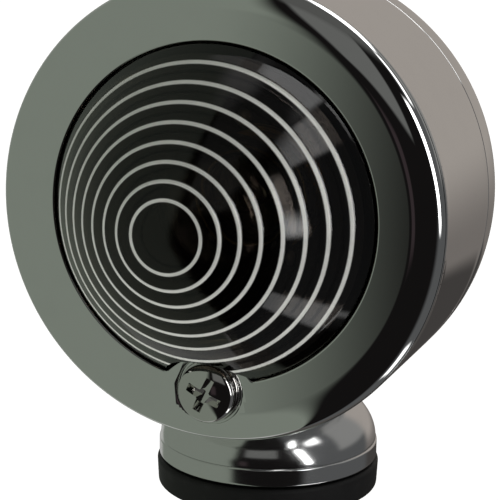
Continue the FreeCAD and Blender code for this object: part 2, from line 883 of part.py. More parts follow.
def make_housing_nut():
    finish("housing_nut", put(nut("housing_jam", S.jam_nut_flats, S.jam_nut_height, nut_base), (0, 0, 0)))


def make_housing_lock_washer():
    washer = ring(
        "tooth_washer", S.tooth_washer_radius, S.stud_radius + 2 * S.fit_gap,
        S.tooth_washer_height, (0, 0, seat_height),
    )
    finish("housing_lock_washer", put(washer, (0, 0, 0)))


def make_wire_ferrule():
    """The rubber ferrule on the stud's upper end, where the wire comes into the housing."""
    outer = S.stud_radius + S.ferrule_wall
    outline = [
        (S.stud_radius + S.fit_gap, stud_top - S.ferrule_grip),
        (outer, stud_top - S.ferrule_grip),
        (outer, stud_top + S.ferrule_wall),
        (S.ferrule_hole, stud_top + S.ferrule_wall),
        (S.ferrule_hole, stud_top + S.fit_gap),
        (S.stud_radius + S.fit_gap, stud_top + S.fit_gap),
    ]
    finish("wire_ferrule", turned("ferrule", outline))


def flare_points():
    """The foot's domed top, from the bead in to the neck: an ellipse about the stud's axis."""
    bead_top = S.pad_thickness + S.turn_gap + S.foot_bead
    start = S.foot_radius - S.bead_step
    neck = S.neck_foot_radius
    points = []
    for step in range(CURVE_STEPS + 1):
        share = step / CURVE_STEPS
        radius = root(start * start - (start * start - neck * neck) * share * share)
        points.append((radius, bead_top + (S.flare_top - bead_top) * share))
    return points


def make_pedestal():
    base = S.pad_thickness + S.turn_gap
    bore = S.stud_radius + S.loose_gap / 3
    outline = [
        (S.foot_hollow, base),
        (S.foot_radius - 0.3, base),
        (S.foot_radius, base + 0.5),
        (S.foot_radius, base + S.foot_bead * 0.9),
    ]
    outline += flare_points()
    neck_top = axis_height - S.housing_radius + S.neck_foot_radius
    outline += [
        (S.neck_foot_radius, neck_top),
        (bore, neck_top),
        (bore, S.foot_land),
        (S.foot_hollow, S.foot_land),
    ]
    casting = turned("pedestal_casting", outline)
    saddle = housing_form("saddle", -S.fit_gap, as_size(0))
    put(saddle, (0, -S.face_to_stud, axis_height), TO_Y)
    finish("pedestal", put(cut("pedestal_cut", casting, saddle), (0, 0, 0)))


def make_pedestal_nut():
    base = S.foot_land - S.jam_nut_height - S.fit_gap
    finish("pedestal_nut", put(nut("pedestal_jam", S.jam_nut_flats, S.jam_nut_height, base), (0, 0, 0)))


def make_base_pad():
    disc = cone("pad_disc", S.pad_radius - 0.2, S.pad_radius, S.pad_thickness)
    hole = cylinder("pad_hole", S.stud_radius + S.loose_gap, S.pad_thickness + 2, (0, 0, -1))
    finish("base_pad", put(cut("pad", disc, hole), (0, 0, 0)))


def make_panel_washer():
    base = -S.panel_thickness - S.plain_washer_height
    washer = ring(
        "plain_washer", S.plain_washer_radius, S.stud_radius + S.loose_gap,
        S.plain_washer_height, (0, 0, base),
    )
    finish("panel_washer", put(washer, (0, 0, 0)))


def make_panel_lock_washer():
    base = -S.panel_thickness - S.plain_washer_height - S.lock_washer_height
    band = ring(
        "split_washer", S.lock_washer_radius, S.stud_radius + S.loose_gap,
        S.lock_washer_height, (0, 0, base),
    )
    split = box(
        "washer_split", S.lock_washer_radius + 1, S.lock_washer_split, S.lock_washer_height + 2,
        (0, -S.lock_washer_split / 2, base - 1),
    )
    finish("panel_lock_washer", put(cut("lock_washer", band, split), (0, 0, 0)))


def make_panel_nut():
    base = -S.panel_thickness - S.plain_washer_height - S.lock_washer_height - S.panel_nut_height
    finish("panel_nut", put(nut("panel_hex", S.panel_nut_flats, S.panel_nut_height, base), (0, 0, 0)))


# ---- build, test and write ------------------------------------------------------------------------------------------

MAKERS = [
    make_base_pad, make_panel_washer, make_panel_lock_washer, make_panel_nut, make_mounting_stud,
    make_pedestal, make_pedestal_nut, make_housing, make_housing_lock_washer, make_housing_nut,
    make_wire_ferrule, make_screw_insert, make_bezel, make_screw_washer, make_bezel_screw, make_lens,
    make_gasket, make_reflector, make_socket_shell, make_socket_rivets, make_rear_insulator,
    make_contact_spring, make_contact_carrier, make_contact_button, make_bulb_glass, make_bulb_cap,
    make_bayonet_pins, make_cap_insulator, make_solder_contact, make_glass_stem, make_filament_posts,
    make_filament,
]


def test_document():
    """Stops the build if any object failed or a finished piece isn't a sound shape."""
    faults = [o.Name for o in doc.Objects if set(o.State) & {"Invalid", "Error"}]
    for label, thing in finished.items():
        if thing.Shape.isNull() or not thing.Shape.isValid() or not thing.Shape.Solids:
            faults.append(label)
    if faults:
        raise RuntimeError("failed objects: " + ", ".join(faults))


def main():
    for make in MAKERS:
        make()
    doc.recompute()
    test_document()
    os.makedirs("parts", exist_ok=True)
    for label, thing in finished.items():
        thing.Shape.exportStep("parts/%s.step" % label)
        size = thing.Shape.BoundBox
        print("%-22s %2d solid(s) %9.1f mm3  x %.1f..%.1f  y %.1f..%.1f  z %.1f..%.1f" % (
            label, len(thing.Shape.Solids), thing.Shape.Volume,
            size.XMin, size.XMax, size.YMin, size.YMax, size.ZMin, size.ZMax,
        ))


main()
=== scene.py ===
# %% [markdown]
# # A round chrome lamp on a flared foot
# The lamp's real sizes and places come from the imported CAD frame, so nothing is fitted here.
# This lesson builds its looks: polished chrome that is only as good as its edges, a clear lens with
# turned steps, a working bayonet bulb, threads that really wind, and a rubber pad.
# %% Load the frame
import math

import bmesh
import bpy
from mathutils import Matrix, Vector


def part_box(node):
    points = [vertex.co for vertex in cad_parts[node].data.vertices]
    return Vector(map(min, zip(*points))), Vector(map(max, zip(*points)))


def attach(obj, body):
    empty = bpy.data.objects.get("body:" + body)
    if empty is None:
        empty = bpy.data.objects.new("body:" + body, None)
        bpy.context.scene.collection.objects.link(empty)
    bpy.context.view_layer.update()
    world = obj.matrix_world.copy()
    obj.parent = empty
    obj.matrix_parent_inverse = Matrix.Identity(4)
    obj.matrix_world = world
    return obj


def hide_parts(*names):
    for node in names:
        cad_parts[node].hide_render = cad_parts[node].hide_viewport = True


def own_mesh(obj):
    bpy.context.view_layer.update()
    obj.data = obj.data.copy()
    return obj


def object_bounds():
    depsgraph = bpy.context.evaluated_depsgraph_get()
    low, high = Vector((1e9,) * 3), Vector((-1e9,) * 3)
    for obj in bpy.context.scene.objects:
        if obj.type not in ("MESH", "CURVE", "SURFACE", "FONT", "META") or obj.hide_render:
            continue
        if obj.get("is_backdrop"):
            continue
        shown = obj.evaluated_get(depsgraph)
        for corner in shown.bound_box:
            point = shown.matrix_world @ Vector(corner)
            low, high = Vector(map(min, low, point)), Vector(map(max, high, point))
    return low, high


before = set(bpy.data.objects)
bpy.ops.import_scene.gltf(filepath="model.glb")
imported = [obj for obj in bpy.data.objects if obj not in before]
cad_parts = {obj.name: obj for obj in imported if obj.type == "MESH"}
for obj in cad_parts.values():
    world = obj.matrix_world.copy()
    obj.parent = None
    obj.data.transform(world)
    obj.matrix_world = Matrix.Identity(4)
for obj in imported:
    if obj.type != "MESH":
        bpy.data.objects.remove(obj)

for leftover in ("Cube", "Light", "Camera"):
    if leftover in bpy.data.objects:
        bpy.data.objects.remove(bpy.data.objects[leftover])
bpy.context.scene.view_settings.view_transform = "Standard"

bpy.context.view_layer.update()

# %% [markdown]
# ## Places from the frame
# Blender works in metres and a lamp maker in millimetres, so lengths stay in millimetres until a mesh
# is made. The lamp's own axis runs front to back. Each place on it is a depth behind the bezel's
# polished face, which the bezel's box gives; the stud's axis is the frame's own Z.
# %% Read the driving sizes
MM = 0.001


def span(node, axis):
    """A CAD node's lowest and highest coordinate along one axis, in millimetres."""
    low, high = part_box(node)
    return low[axis] / MM, high[axis] / MM


def depth_of(node):
    """A node's front and back, as depths behind the bezel's face."""
    front, back = span(node, 1)
    return front - FACE, back - FACE


FACE = span("bezel", 1)[0]
AXIS = sum(span("housing", 2)) / 2
HOUSING_RADIUS = span("housing", 0)[1]
LENS_TIP = depth_of("lens")[0]
print("face at y", round(FACE, 2), "axis at z", round(AXIS, 2), "radius", round(HOUSING_RADIUS, 2))

# Turned pieces are made round Z. This turns them onto the lamp's axis: Z runs back, Y runs down.
ON_LAMP = Matrix.Translation((0, FACE * MM, AXIS * MM)) @ Matrix.Rotation(-math.pi / 2, 4, "X")
ON_STUD = Matrix.Identity(4)

# %% [markdown]
# ## The camera
# The lamp is seen from a little above and from its own left, close enough for the drum to widen
# towards the back of the picture.
# %% Make the camera
VIEW_AZIMUTH = 20.69
VIEW_ELEVATION = 12.8
VIEW_ROLL = 0.75
VIEW_DISTANCE = 230.26
VIEW_TARGET = (5.63, 0.0, -4.08)    # from the centre of the bezel's face
FOCAL_WIDTHS = 3.5363               # focal length as a multiple of the sensor's width
SENSOR = 36.0


def make_camera():
    azimuth = math.radians(VIEW_AZIMUTH)
    elevation = math.radians(VIEW_ELEVATION)
    level = math.cos(elevation)
    back = Vector((math.sin(azimuth) * level, -math.cos(azimuth) * level, math.sin(elevation)))
    target = Vector((VIEW_TARGET[0], FACE + VIEW_TARGET[1], AXIS + VIEW_TARGET[2])) * MM
    right = Vector((0, 0, 1)).cross(back).normalized()
    up = back.cross(right)
    roll = math.radians(VIEW_ROLL)
    rolled_right = right * math.cos(roll) + up * math.sin(roll)
    rolled_up = up * math.cos(roll) - right * math.sin(roll)
    pose = Matrix((rolled_right, rolled_up, back)).transposed().to_4x4()
    pose.translation = target + back * VIEW_DISTANCE * MM
    data = bpy.data.cameras.new("view")
    data.sensor_width = SENSOR
    data.lens = SENSOR * FOCAL_WIDTHS
    data.clip_start = 0.005
    camera = bpy.data.objects.new("view", data)
    camera.matrix_world = pose
    bpy.context.scene.collection.objects.link(camera)
    bpy.context.scene.camera = camera
    return camera


view = make_camera()
print("camera", [round(c, 4) for c in view.location], "lens", round(view.data.lens, 1))

# %% [markdown]
# ## Writing node maths as Python
# A shader is easier to read as an expression than as a tangle of nodes. `Wire` stands for a socket:
# adding or multiplying two of them adds the Math node that does it. `Board` makes any other node in
# one call. The same two classes serve materials, the world and Geometry Nodes.
# %% Sockets as numbers


class Wire:
    """A socket that behaves like a number in an expression."""

    def __init__(self, board, socket):
        self.board = board
        self.socket = socket

    def maths(self, operation, *others):
        node = self.board.node("ShaderNodeMath", {"operation": operation}, *([self] + list(others)))
        return node.out(0)

    def __neg__(self):
        return self * -1

    def __abs__(self):
        return self.maths("ABSOLUTE")


def operator(kind, reflected):
    def apply(self, other):
        pair = (self.board.number(other), self) if reflected else (self, other)
        return pair[0].maths(kind, pair[1])
    return apply


OPERATORS = {"add": "ADD", "sub": "SUBTRACT", "mul": "MULTIPLY", "truediv": "DIVIDE", "pow": "POWER"}
for word, kind in OPERATORS.items():
    setattr(Wire, "__%s__" % word, operator(kind, False))
    setattr(Wire, "__r%s__" % word, operator(kind, True))


class Made:
    """A node that has been made, with its outputs as wires."""

    def __init__(self, board, node):
        self.board = board
        self.node = node

    def out(self, name):
        return Wire(self.board, self.node.outputs[name])


class Board:
    """A node tree that grows by one call for each node."""

    def __init__(self, tree):
        self.tree = tree

    def node(self, kind, settings=None, *values, **named):
        node = self.tree.nodes.new(kind)
        for name, value in (settings or {}).items():
            setattr(node, name, value)
        for key, value in enumerate(values):
            self.feed(node.inputs[key], value)
        for key, value in named.items():
            self.feed(node.inputs[key.replace("_", " ")], value)
        return Made(self, node)

    def feed(self, socket, value):
        if value is None:
            return
        if isinstance(value, Wire):
            self.tree.links.new(value.socket, socket)
        else:
            wide = socket.type == "RGBA" and len(value) == 3
            socket.default_value = (*value, 1.0) if wide else value

    def number(self, value):
        if isinstance(value, Wire):
            return value
        node = self.node("ShaderNodeValue")
        node.node.outputs[0].default_value = value
        return node.out(0)

    def ramp(self, value, low, high, to_low=0.0, to_high=1.0):
        """A smooth climb from one value to another as value goes from low to high."""
        settings = {"interpolation_type": "SMOOTHSTEP"}
        made = self.node("ShaderNodeMapRange", settings, value, low, high, to_low, to_high)
        return made.out(0)

    def band(self, value, low, high, soft):
        """One between low and high, falling to nothing over soft on each side."""
        return self.ramp(value, low - soft, low) * self.ramp(value, high, high + soft, 1.0, 0.0)

    def mix(self, factor, first, second):
        node = self.node("ShaderNodeMix", {"data_type": "RGBA"}, factor)
        self.feed(node.node.inputs[6], first)
        self.feed(node.node.inputs[7], second)
        return Wire(self, node.node.outputs[2])


print("node helpers ready")

# %% [markdown]
# ## A lathe made of Geometry Nodes
# Nearly every piece of this lamp is turned, drawn or spun, so one node tree does the turning. It reads
# a closed outline from the object's own vertices (X is the radius, Z the height, Y says how much
# thread is cut there) and sweeps it round. Two more rules give it screws and nuts: a thread pushes the
# radius in and out as it winds, and a hexagon caps the radius at its flats.
# %% Build the turning tree
TREE_INPUTS = [
    ("Segments", "NodeSocketInt"),
    ("Pitch", "NodeSocketFloat"),
    ("Thread Depth", "NodeSocketFloat"),
    ("Flat Radius", "NodeSocketFloat"),
    ("Material", "NodeSocketMaterial"),
]


def new_tree(name, inputs):
    tree = bpy.data.node_groups.new(name, "GeometryNodeTree")
    tree.interface.new_socket("Geometry", in_out="INPUT", socket_type="NodeSocketGeometry")
    for label, kind in inputs:
        tree.interface.new_socket(label, in_out="INPUT", socket_type=kind)
    tree.interface.new_socket("Geometry", in_out="OUTPUT", socket_type="NodeSocketGeometry")
    board = Board(tree)
    return board, board.node("NodeGroupInput")


def end_tree(board, given, shape):
    """Every tree ends the same way: smooth shading, real geometry and its material."""
    smooth = board.node("GeometryNodeSetShadeSmooth", None, Geometry=shape).out(0)
    real = board.node("GeometryNodeRealizeInstances", None, smooth).out(0)
    painted = board.node("GeometryNodeSetMaterial", None, real, Material=given.out("Material")).out(0)
    board.node("NodeGroupOutput", None, painted)
    return board.tree


def build_turning_tree():
    board, given = new_tree("turning", TREE_INPUTS)
    outline = given.out("Geometry")
    corners = board.node("GeometryNodeAttributeDomainSize", None, outline).out("Point Count")
    around = given.out("Segments") + 1
    grid = board.node("GeometryNodeMeshGrid", None, Vertices_X=corners + 1, Vertices_Y=around).out("Mesh")
    index = board.node("GeometryNodeInputIndex").out(0)
    along = (index / around).maths("FLOOR")
    turn = (index - along * around) / given.out("Segments")
    corner = along.maths("FLOORED_MODULO", corners)
    position = board.node("GeometryNodeInputPosition").out(0)
    sample = board.node("GeometryNodeSampleIndex", {"data_type": "FLOAT_VECTOR"}, outline, position)
    board.feed(sample.node.inputs["Index"], corner)
    spot = board.node("ShaderNodeSeparateXYZ", None, sample.out(0))
    radius, cut, height = (spot.out(n) for n in range(3))
    winding = (height / given.out("Pitch") - turn).maths("FRACT")
    groove = 1 - abs(winding * 2 - 1)
    radius = radius - groove * cut * given.out("Thread Depth")
    angle = turn * math.tau
    facet = ((turn * 6).maths("FRACT") - 0.5) * (math.tau / 6)
    flat = given.out("Flat Radius") / facet.maths("COSINE")
    radius = radius.maths("MINIMUM", flat)
    place = board.node(
        "ShaderNodeCombineXYZ", None, radius * angle.maths("COSINE"), radius * angle.maths("SINE"), height,
    )
    turned = board.node("GeometryNodeSetPosition", None, grid, Position=place.out(0)).out(0)
    merged = board.node("GeometryNodeMergeByDistance", None, turned, Distance=1e-7).out(0)
    return end_tree(board, given, merged)


TURNING = build_turning_tree()
print("turning tree:", len(TURNING.nodes), "nodes")

# %% [markdown]
# ## From a tree to a clean mesh
# A modifier's inputs are set by the socket's identifier before the object is first evaluated. The
# result becomes a plain mesh, and its faces are turned outwards if the outline ran the other way.
# Edges sharper than a set angle are marked sharp, so flat chrome stays optically flat.
# %% Apply a tree and tidy its mesh
SHARP = math.radians(32)
NO_FLATS = 2000.0                   # so far out that nothing is capped


def set_inputs(modifier, tree, values):
    for item in tree.interface.items_tree:
        if item.item_type == "SOCKET" and item.in_out == "INPUT" and item.name in values:
            modifier[item.identifier] = values[item.name]


def show(name, mesh):
    piece = bpy.data.objects.new(name, mesh)
    bpy.context.scene.collection.objects.link(piece)
    return piece


def bake_modifiers(piece):
    """Replaces a piece's mesh by what its modifiers make of it, and removes them."""
    bpy.context.view_layer.update()
    graph = bpy.context.evaluated_depsgraph_get()
    mesh = bpy.data.meshes.new_from_object(piece.evaluated_get(graph))
    piece.modifiers.clear()
    piece.data = mesh
    mesh.name = piece.name
    return piece


def clean(piece, sharp=SHARP):
    """Welds what touches, drops stray edges, faces everything outwards and marks the sharp edges."""
    shape = bmesh.new()
    shape.from_mesh(piece.data)
    bmesh.ops.remove_doubles(shape, verts=shape.verts, dist=2e-7)
    bmesh.ops.dissolve_degenerate(shape, dist=1e-7, edges=shape.edges)
    stray = [e for e in shape.edges if not e.link_faces]
    bmesh.ops.delete(shape, geom=stray, context="EDGES")
    if shape.calc_volume(signed=True) < 0:
        bmesh.ops.reverse_faces(shape, faces=shape.faces)
    for face in shape.faces:
        face.smooth = True
    shape.to_mesh(piece.data)
    shape.free()
    piece.data.set_sharp_from_angle(angle=sharp)
    return piece


def grow(name, points, tree, values, place, sharp=SHARP):
    """A piece that a tree makes from bare points, in metres, put in its place and cleaned."""
    mesh = bpy.data.meshes.new(name)
    mesh.from_pydata(points, [], [])
    piece = show(name, mesh)
    modifier = piece.modifiers.new(tree.name, "NODES")
    modifier.node_group = tree
    set_inputs(modifier, tree, values)
    bake_modifiers(piece)
    piece.data.transform(place)
    return clean(piece, sharp)


def turn(name, outline, place=ON_LAMP, segments=192, pitch=1.0, thread=0.0, flats=NO_FLATS, sharp=SHARP):
    """A turned piece from a closed outline of (radius, height) or (radius, height, thread) in mm."""
    points = [(p[0] * MM, p[2] if len(p) > 2 else 0, p[1] * MM) for p in outline]
    lengths = {"Pitch": pitch * MM, "Thread Depth": thread * MM, "Flat Radius": flats / 2 * MM}
    return grow(name, points, TURNING, {"Segments": segments, **lengths}, place, sharp)


def rounded(corners, guard=0.12):
    """An outline whose corners (radius, height, rounding) become arcs.

    A guard point stands a little way along each straight run, so a rounding never bends the shading
    of the flat beside it.
    """
    count = len(corners)
    points = []
    for number, corner in enumerate(corners):
        here = Vector(corner[:2])
        size = corner[2] if len(corner) > 2 else 0.0
        before = Vector(corners[number - 1][:2]) - here
        after = Vector(corners[(number + 1) % count][:2]) - here
        if not size or before.length < 1e-9 or after.length < 1e-9:
            points.append((here.x, here.y))
            continue
        half = before.angle(after) / 2
        reach = min(size / math.tan(half), before.length * 0.49, after.length * 0.49)
        radius = reach * math.tan(half)
        start = here + before.normalized() * reach
        end = here + after.normalized() * reach
        centre = here + (before.normalized() + after.normalized()).normalized() * (radius / math.sin(half))
        first = start - centre
        sweep = first.angle_signed(end - centre)
        steps = max(3, round(abs(sweep) / math.radians(11)))
        room = min(guard, (before.length - reach) * 0.3, (after.length - reach) * 0.3)
        points.append(tuple(start + before.normalized() * room))
        for step in range(steps + 1):
            angle = -sweep * step / steps
            arm = Vector((
                first.x * math.cos(angle) - first.y * math.sin(angle),
                first.x * math.sin(angle) + first.y * math.cos(angle),
            ))
            points.append(tuple(centre + arm))
        points.append(tuple(end + after.normalized() * room))
    return points


def bar(inner, outer, low, high, sizes, guard=0.08):
    """A rectangular section whose four corners are rounded by the given sizes."""
    places = [(inner, low), (outer, low), (outer, high), (inner, high)]
    return rounded([(*place, size) for place, size in zip(places, sizes)], guard)


def carve(piece, tool, operation="DIFFERENCE"):
    """Cuts, joins or limits a piece by a tool, and removes the tool."""
    modifier = piece.modifiers.new("carve", "BOOLEAN")
    modifier.operation = operation
    modifier.solver = "EXACT"
    modifier.object = tool
    bake_modifiers(piece)
    bpy.data.objects.remove(tool)
    return clean(piece)


def lamp_at(across, down, depth=0.0):
    return ON_LAMP @ Matrix.Translation((across * MM, down * MM, depth * MM))


def disc(radius, low, high):
    return [(0, low), (radius, low), (radius, high), (0, high)]


def peg(name, radius, front, back, across=0.0, down=0.0, segments=96):
    """A round cutting or filling rod parallel to the lamp's axis."""
    return turn(name, disc(radius, front, back), lamp_at(across, down), segments)


def skin(name, rings, place=ON_LAMP, closed=True):
    """A mesh over rings of points in mm. The rings close on themselves, or have flat ends."""
    shape = bmesh.new()
    rings = [[shape.verts.new([c * MM for c in point]) for point in ring] for ring in rings]
    for ring, after in zip(rings, rings[1:] + rings[:1] if closed else rings[1:]):
        for here, there in zip(range(-1, len(ring) - 1), range(len(ring))):
            shape.faces.new((ring[here], ring[there], after[there], after[here]))
    if not closed:
        shape.faces.new(rings[0][::-1])
        shape.faces.new(rings[-1])
    mesh = bpy.data.meshes.new(name)
    shape.to_mesh(mesh)
    shape.free()
    mesh.transform(place)
    return clean(show(name, mesh))


def block(name, low, high):
    """A plain cutting block between two corners, in mm."""
    (left, top, front), (right, bottom, back) = low, high
    around = [(left, top), (right, top), (right, bottom), (left, bottom)]
    return skin(name, [[(x, y, z) for x, y in around] for z in (front, back)], closed=False)


print("shaping helpers ready")

# %% [markdown]
# ## The studio
# Polished chrome has no colour of its own: it shows the room. So the room is designed first. A grey
# wall stands on one side, a black cloth faces the lamp, a narrow window gives the long highlights and a
# warm wall closes the back. The camera itself sees plain white. The room is written by compass
# direction, in degrees from the lamp's front, and by height above the horizon.
# %% Hang the room in the world
GREY_WALL = (0.178, 0.200, 0.170)
BLACK_CLOTH = (0.0062, 0.0056, 0.0056)
WARM_WALL = (0.345, 0.315, 0.290)
WARM_SHADE = (0.165, 0.150, 0.140)


def build_room():
    world = bpy.data.worlds.new("studio")
    world.use_nodes = True
    world.node_tree.nodes.clear()
    bpy.context.scene.world = world
    board = Board(world.node_tree)
    where = board.node("ShaderNodeTexCoord").out("Generated")
    spot = board.node("ShaderNodeSeparateXYZ", None, where)
    across, ahead, up = (spot.out(n) for n in range(3))
    compass = across.maths("ARCTAN2", -ahead) * math.degrees(1)
    height = up.maths("ARCSINE") * math.degrees(1)

    # The left wall, and the black cloth in front whose edge leans a little.
    lean = board.ramp(height, -8, 10, 0.0, 5.0) + (-18 - height).maths("MAXIMUM", 0.0) * 0.45
    colour = board.mix(board.ramp(compass - lean, -23, -14), GREY_WALL, BLACK_CLOTH)
    streak = board.band(compass, -8, -3, 3) * board.band(height, -12, -4, 4)
    colour = board.mix(streak, colour, (0.032, 0.024, 0.026))

    # The right side: a half-lit wall, brighter above the bench.
    colour = board.mix(board.ramp(compass, 52, 64), colour, (0.082, 0.084, 0.086))
    lit = board.ramp(compass, 96, 106) * board.ramp(height, 0, 9)
    colour = board.mix(lit, colour, (0.22, 0.22, 0.215))

    # What stands in front, above the cloth.
    front = board.band(compass, -2, 28, 4)
    colour = board.mix(front * board.band(height, 12, 48, 4), colour, (0.118, 0.12, 0.116))
    above = board.band(compass, -4, 58, 6) * board.ramp(height, 40, 52)
    colour = board.mix(above, colour, (0.082, 0.083, 0.08))

    # Behind the lamp: a warm wall above a dark bench edge.
    behind = board.ramp(abs(compass), 140, 154)
    wall = board.mix(board.ramp(height, -15, 0), WARM_SHADE, WARM_WALL)
    bench = board.mix(board.ramp(height, -25, -21), (0.076, 0.07, 0.066), (0.05, 0.046, 0.044))
    colour = board.mix(behind, colour, board.mix(board.ramp(height, -18.6, -16.4), bench, wall))
    colour = board.mix(board.band(compass, -154, -132, 6) * 0.75, colour, (0.5, 0.5, 0.49))

    # Windows: a leaning strip at the right, a broad one above it and a low lamp.
    strip = board.band(compass + height * 0.28, 58, 63.5, 2) * board.band(height, -7, 24, 7)
    colour = board.mix(strip, colour, (4.4, 4.4, 4.4))
    high = board.band(compass, 68, 82, 5) * board.band(height, 34, 50, 4) * 0.8
    high = high.maths("MAXIMUM", board.band(compass, 82, 158, 6) * board.band(height, 56, 78, 4))
    colour = board.mix(high, colour, (2.2, 2.2, 2.2))
    low = board.band(compass, 66, 104, 4) * board.band(height, -60, -51, 3)
    colour = board.mix(low, colour, (1.4, 1.4, 1.4))
    colour = board.mix(board.ramp(height, 76, 86), colour, (0.5, 0.5, 0.5))
    room = board.node("ShaderNodeBackground", None, colour, 1.0).out(0)
    backdrop = board.node("ShaderNodeBackground", None, (1, 1, 1), 1.0).out(0)
    seen = board.node("ShaderNodeLightPath").out("Is Camera Ray")
    shown = board.node("ShaderNodeMixShader", None, seen, room, backdrop).out(0)
    board.node("ShaderNodeOutputWorld", None, shown)
    return world


print("room nodes:", len(build_room().node_tree.nodes))

# %% [markdown]
# ## Finishes
# A finish is a small node tree. Polished chrome only gets a breath of uneven roughness, because any bump
# would wobble its reflections. Zinc and brass get turning marks that follow the lathe, rubber gets a
# fine grain, and glass is a real dielectric, so that its edges darken and glint by themselves.
# %% Mix the finishes


def start_finish(name, colour, metallic=0.0, roughness=0.5, **sockets):
    material = bpy.data.materials.new(name)
    material.use_nodes = True
    material.node_tree.nodes.clear()
    board = Board(material.node_tree)
    made = board.node("ShaderNodeBsdfPrincipled")
    shader = made.node
    board.feed(shader.inputs["Base Color"], colour)
    board.feed(shader.inputs["Metallic"], metallic)
    board.feed(shader.inputs["Roughness"], roughness)
    for key, value in sockets.items():
        board.feed(shader.inputs[key.replace("_", " ")], value)
    board.node("ShaderNodeOutputMaterial", None, made.out(0))
    return material, board, shader


def object_place(board):
    return board.node("ShaderNodeTexCoord").out("Object")


def speckle(board, scale, detail=3.0, roughness=0.55):
    """Noise fixed to the piece, about 0 to 1, with one grain in 1/scale metres."""
    place = object_place(board)
    inputs = {"Vector": place, "Scale": scale, "Detail": detail, "Roughness": roughness}
    return board.node("ShaderNodeTexNoise", None, **inputs).out("Fac")


def polished(name, colour, haze=0.03, spread=0.03):
    """Bright plating: mirror smooth, with faint wiping marks in the roughness alone."""
    material, board, shader = start_finish(name, colour, metallic=1.0)
    cloudy = board.ramp(speckle(board, 240.0), 0.45, 0.8)
    board.feed(shader.inputs["Roughness"], haze + cloudy * spread)
    tint = board.mix(cloudy * 0.25, colour, [c * 0.93 for c in colour])
    board.feed(shader.inputs["Base Color"], tint)
    return material


def machined(name, colour, dark, haze=0.28, grain=2600.0, depth=0.04):
    """Turned or rolled metal: fine streaks stretched along one axis, in colour, gloss and height."""
    material, board, shader = start_finish(name, colour, metallic=1.0)
    along = board.node("ShaderNodeMapping", None, Vector=object_place(board), Scale=(1.0, 1.0, 0.08)).out(0)
    streaks = board.node("ShaderNodeTexNoise", None, Vector=along, Scale=grain, Detail=4.0).out("Fac")
    patches = board.ramp(speckle(board, 420.0), 0.35, 0.7)
    board.feed(shader.inputs["Base Color"], board.mix(patches * 0.6, colour, dark))
    board.feed(shader.inputs["Roughness"], haze + streaks * 0.12 + patches * 0.08)
    bump = board.node("ShaderNodeBump", None, Strength=depth, Distance=0.00005, Height=streaks)
    board.feed(shader.inputs["Normal"], bump.out(0))
    return material


def moulded(name, colour, wear_and_highlight, haze=0.6, grain=5200.0, depth=0.25):
    """Rubber, board or the dish's near black, which is painted shade: a fine skin with slightly paler worn
    patches.
    """
    material, board, shader = start_finish(name, colour)
    skin = speckle(board, grain, 5.0, 0.65)
    wear = board.ramp(speckle(board, 330.0, 4.0), 0.5, 0.75)
    board.feed(shader.inputs["Base Color"], board.mix(wear * 0.7, colour, wear_and_highlight))
    board.feed(shader.inputs["Roughness"], haze + skin * 0.16 - wear * 0.06)
    bump = board.node("ShaderNodeBump", None, Strength=depth, Distance=0.00008, Height=skin)
    board.feed(shader.inputs["Normal"], bump.out(0))
    return material


def clear(name, colour, bend, haze=0.0):
    """Clear plastic or glass, with a trace of dust haze in its roughness."""
    material, board, shader = start_finish(name, colour, Transmission_Weight=1.0, IOR=bend)
    dust = board.ramp(speckle(board, 900.0), 0.62, 0.85)
    board.feed(shader.inputs["Roughness"], haze + dust * 0.015)
    return material


FINISH_TABLE = {
    "chrome_bezel": (polished, "bezel chrome", (0.93, 0.935, 0.925), 0.022, 0.02),
    "chrome_housing": (polished, "drum chrome", (0.90, 0.90, 0.89), 0.035, 0.03),
    "chrome_foot": (polished, "foot chrome", (0.90, 0.90, 0.895), 0.13, 0.05),
    "screw_steel": (polished, "screw nickel", (0.86, 0.85, 0.83), 0.06, 0.05),
    "washer_steel": (machined, "zinc plate", (0.62, 0.61, 0.58), (0.42, 0.41, 0.38)),
    "stud_steel": (machined, "stud zinc", (0.60, 0.59, 0.56), (0.38, 0.37, 0.34), 0.25),
    "pad_rubber": (moulded, "pad rubber", (0.004, 0.0038, 0.0038), (0.009, 0.0085, 0.008), 0.55),
    "gasket_rubber": (moulded, "gasket rubber", (0.02, 0.02, 0.021), (0.04, 0.04, 0.041)),
    "ferrule_rubber": (moulded, "ferrule rubber", (0.02, 0.02, 0.02), (0.045, 0.045, 0.045)),
    # The dish's near-black colour paints shade into the lamp's inside.
    "reflector_dark": (moulded, "dish lacquer", (0.01, 0.006, 0.004), (0.02, 0.012, 0.008), 0.6, 2500.0, 0.1),
    "socket_brass": (machined, "socket brass", (0.55, 0.41, 0.18), (0.30, 0.21, 0.09), 0.3),
    "rivet_steel": (machined, "rivet steel", (0.55, 0.55, 0.54), (0.36, 0.36, 0.35)),
    "insulator_board": (moulded, "pressed board", (0.16, 0.075, 0.03), (0.24, 0.13, 0.06), 0.6, 3600.0, 0.3),
    "spring_steel": (machined, "spring wire", (0.5, 0.49, 0.47), (0.32, 0.31, 0.3), 0.22),
    "contact_brass": (machined, "contact brass", (0.68, 0.52, 0.24), (0.4, 0.29, 0.12), 0.24),
    "bulb_glass": (clear, "bulb glass", (0.98, 0.985, 0.98), 1.46),
    "cap_brass": (machined, "cap brass", (0.62, 0.49, 0.24), (0.38, 0.29, 0.13), 0.2),
    "black_glass": (moulded, "black glass", (0.01, 0.008, 0.014), (0.02, 0.018, 0.024), 0.08, 1500.0, 0.05),
    "solder": (machined, "solder", (0.52, 0.52, 0.51), (0.36, 0.36, 0.36), 0.32),
    "filament_wire": (machined, "tungsten", (0.34, 0.33, 0.33), (0.2, 0.2, 0.21), 0.35, 9000.0, 0.02),
}
FINISHES = {slot: make(*values) for slot, (make, *values) in FINISH_TABLE.items()}
print(len(FINISHES), "finishes")
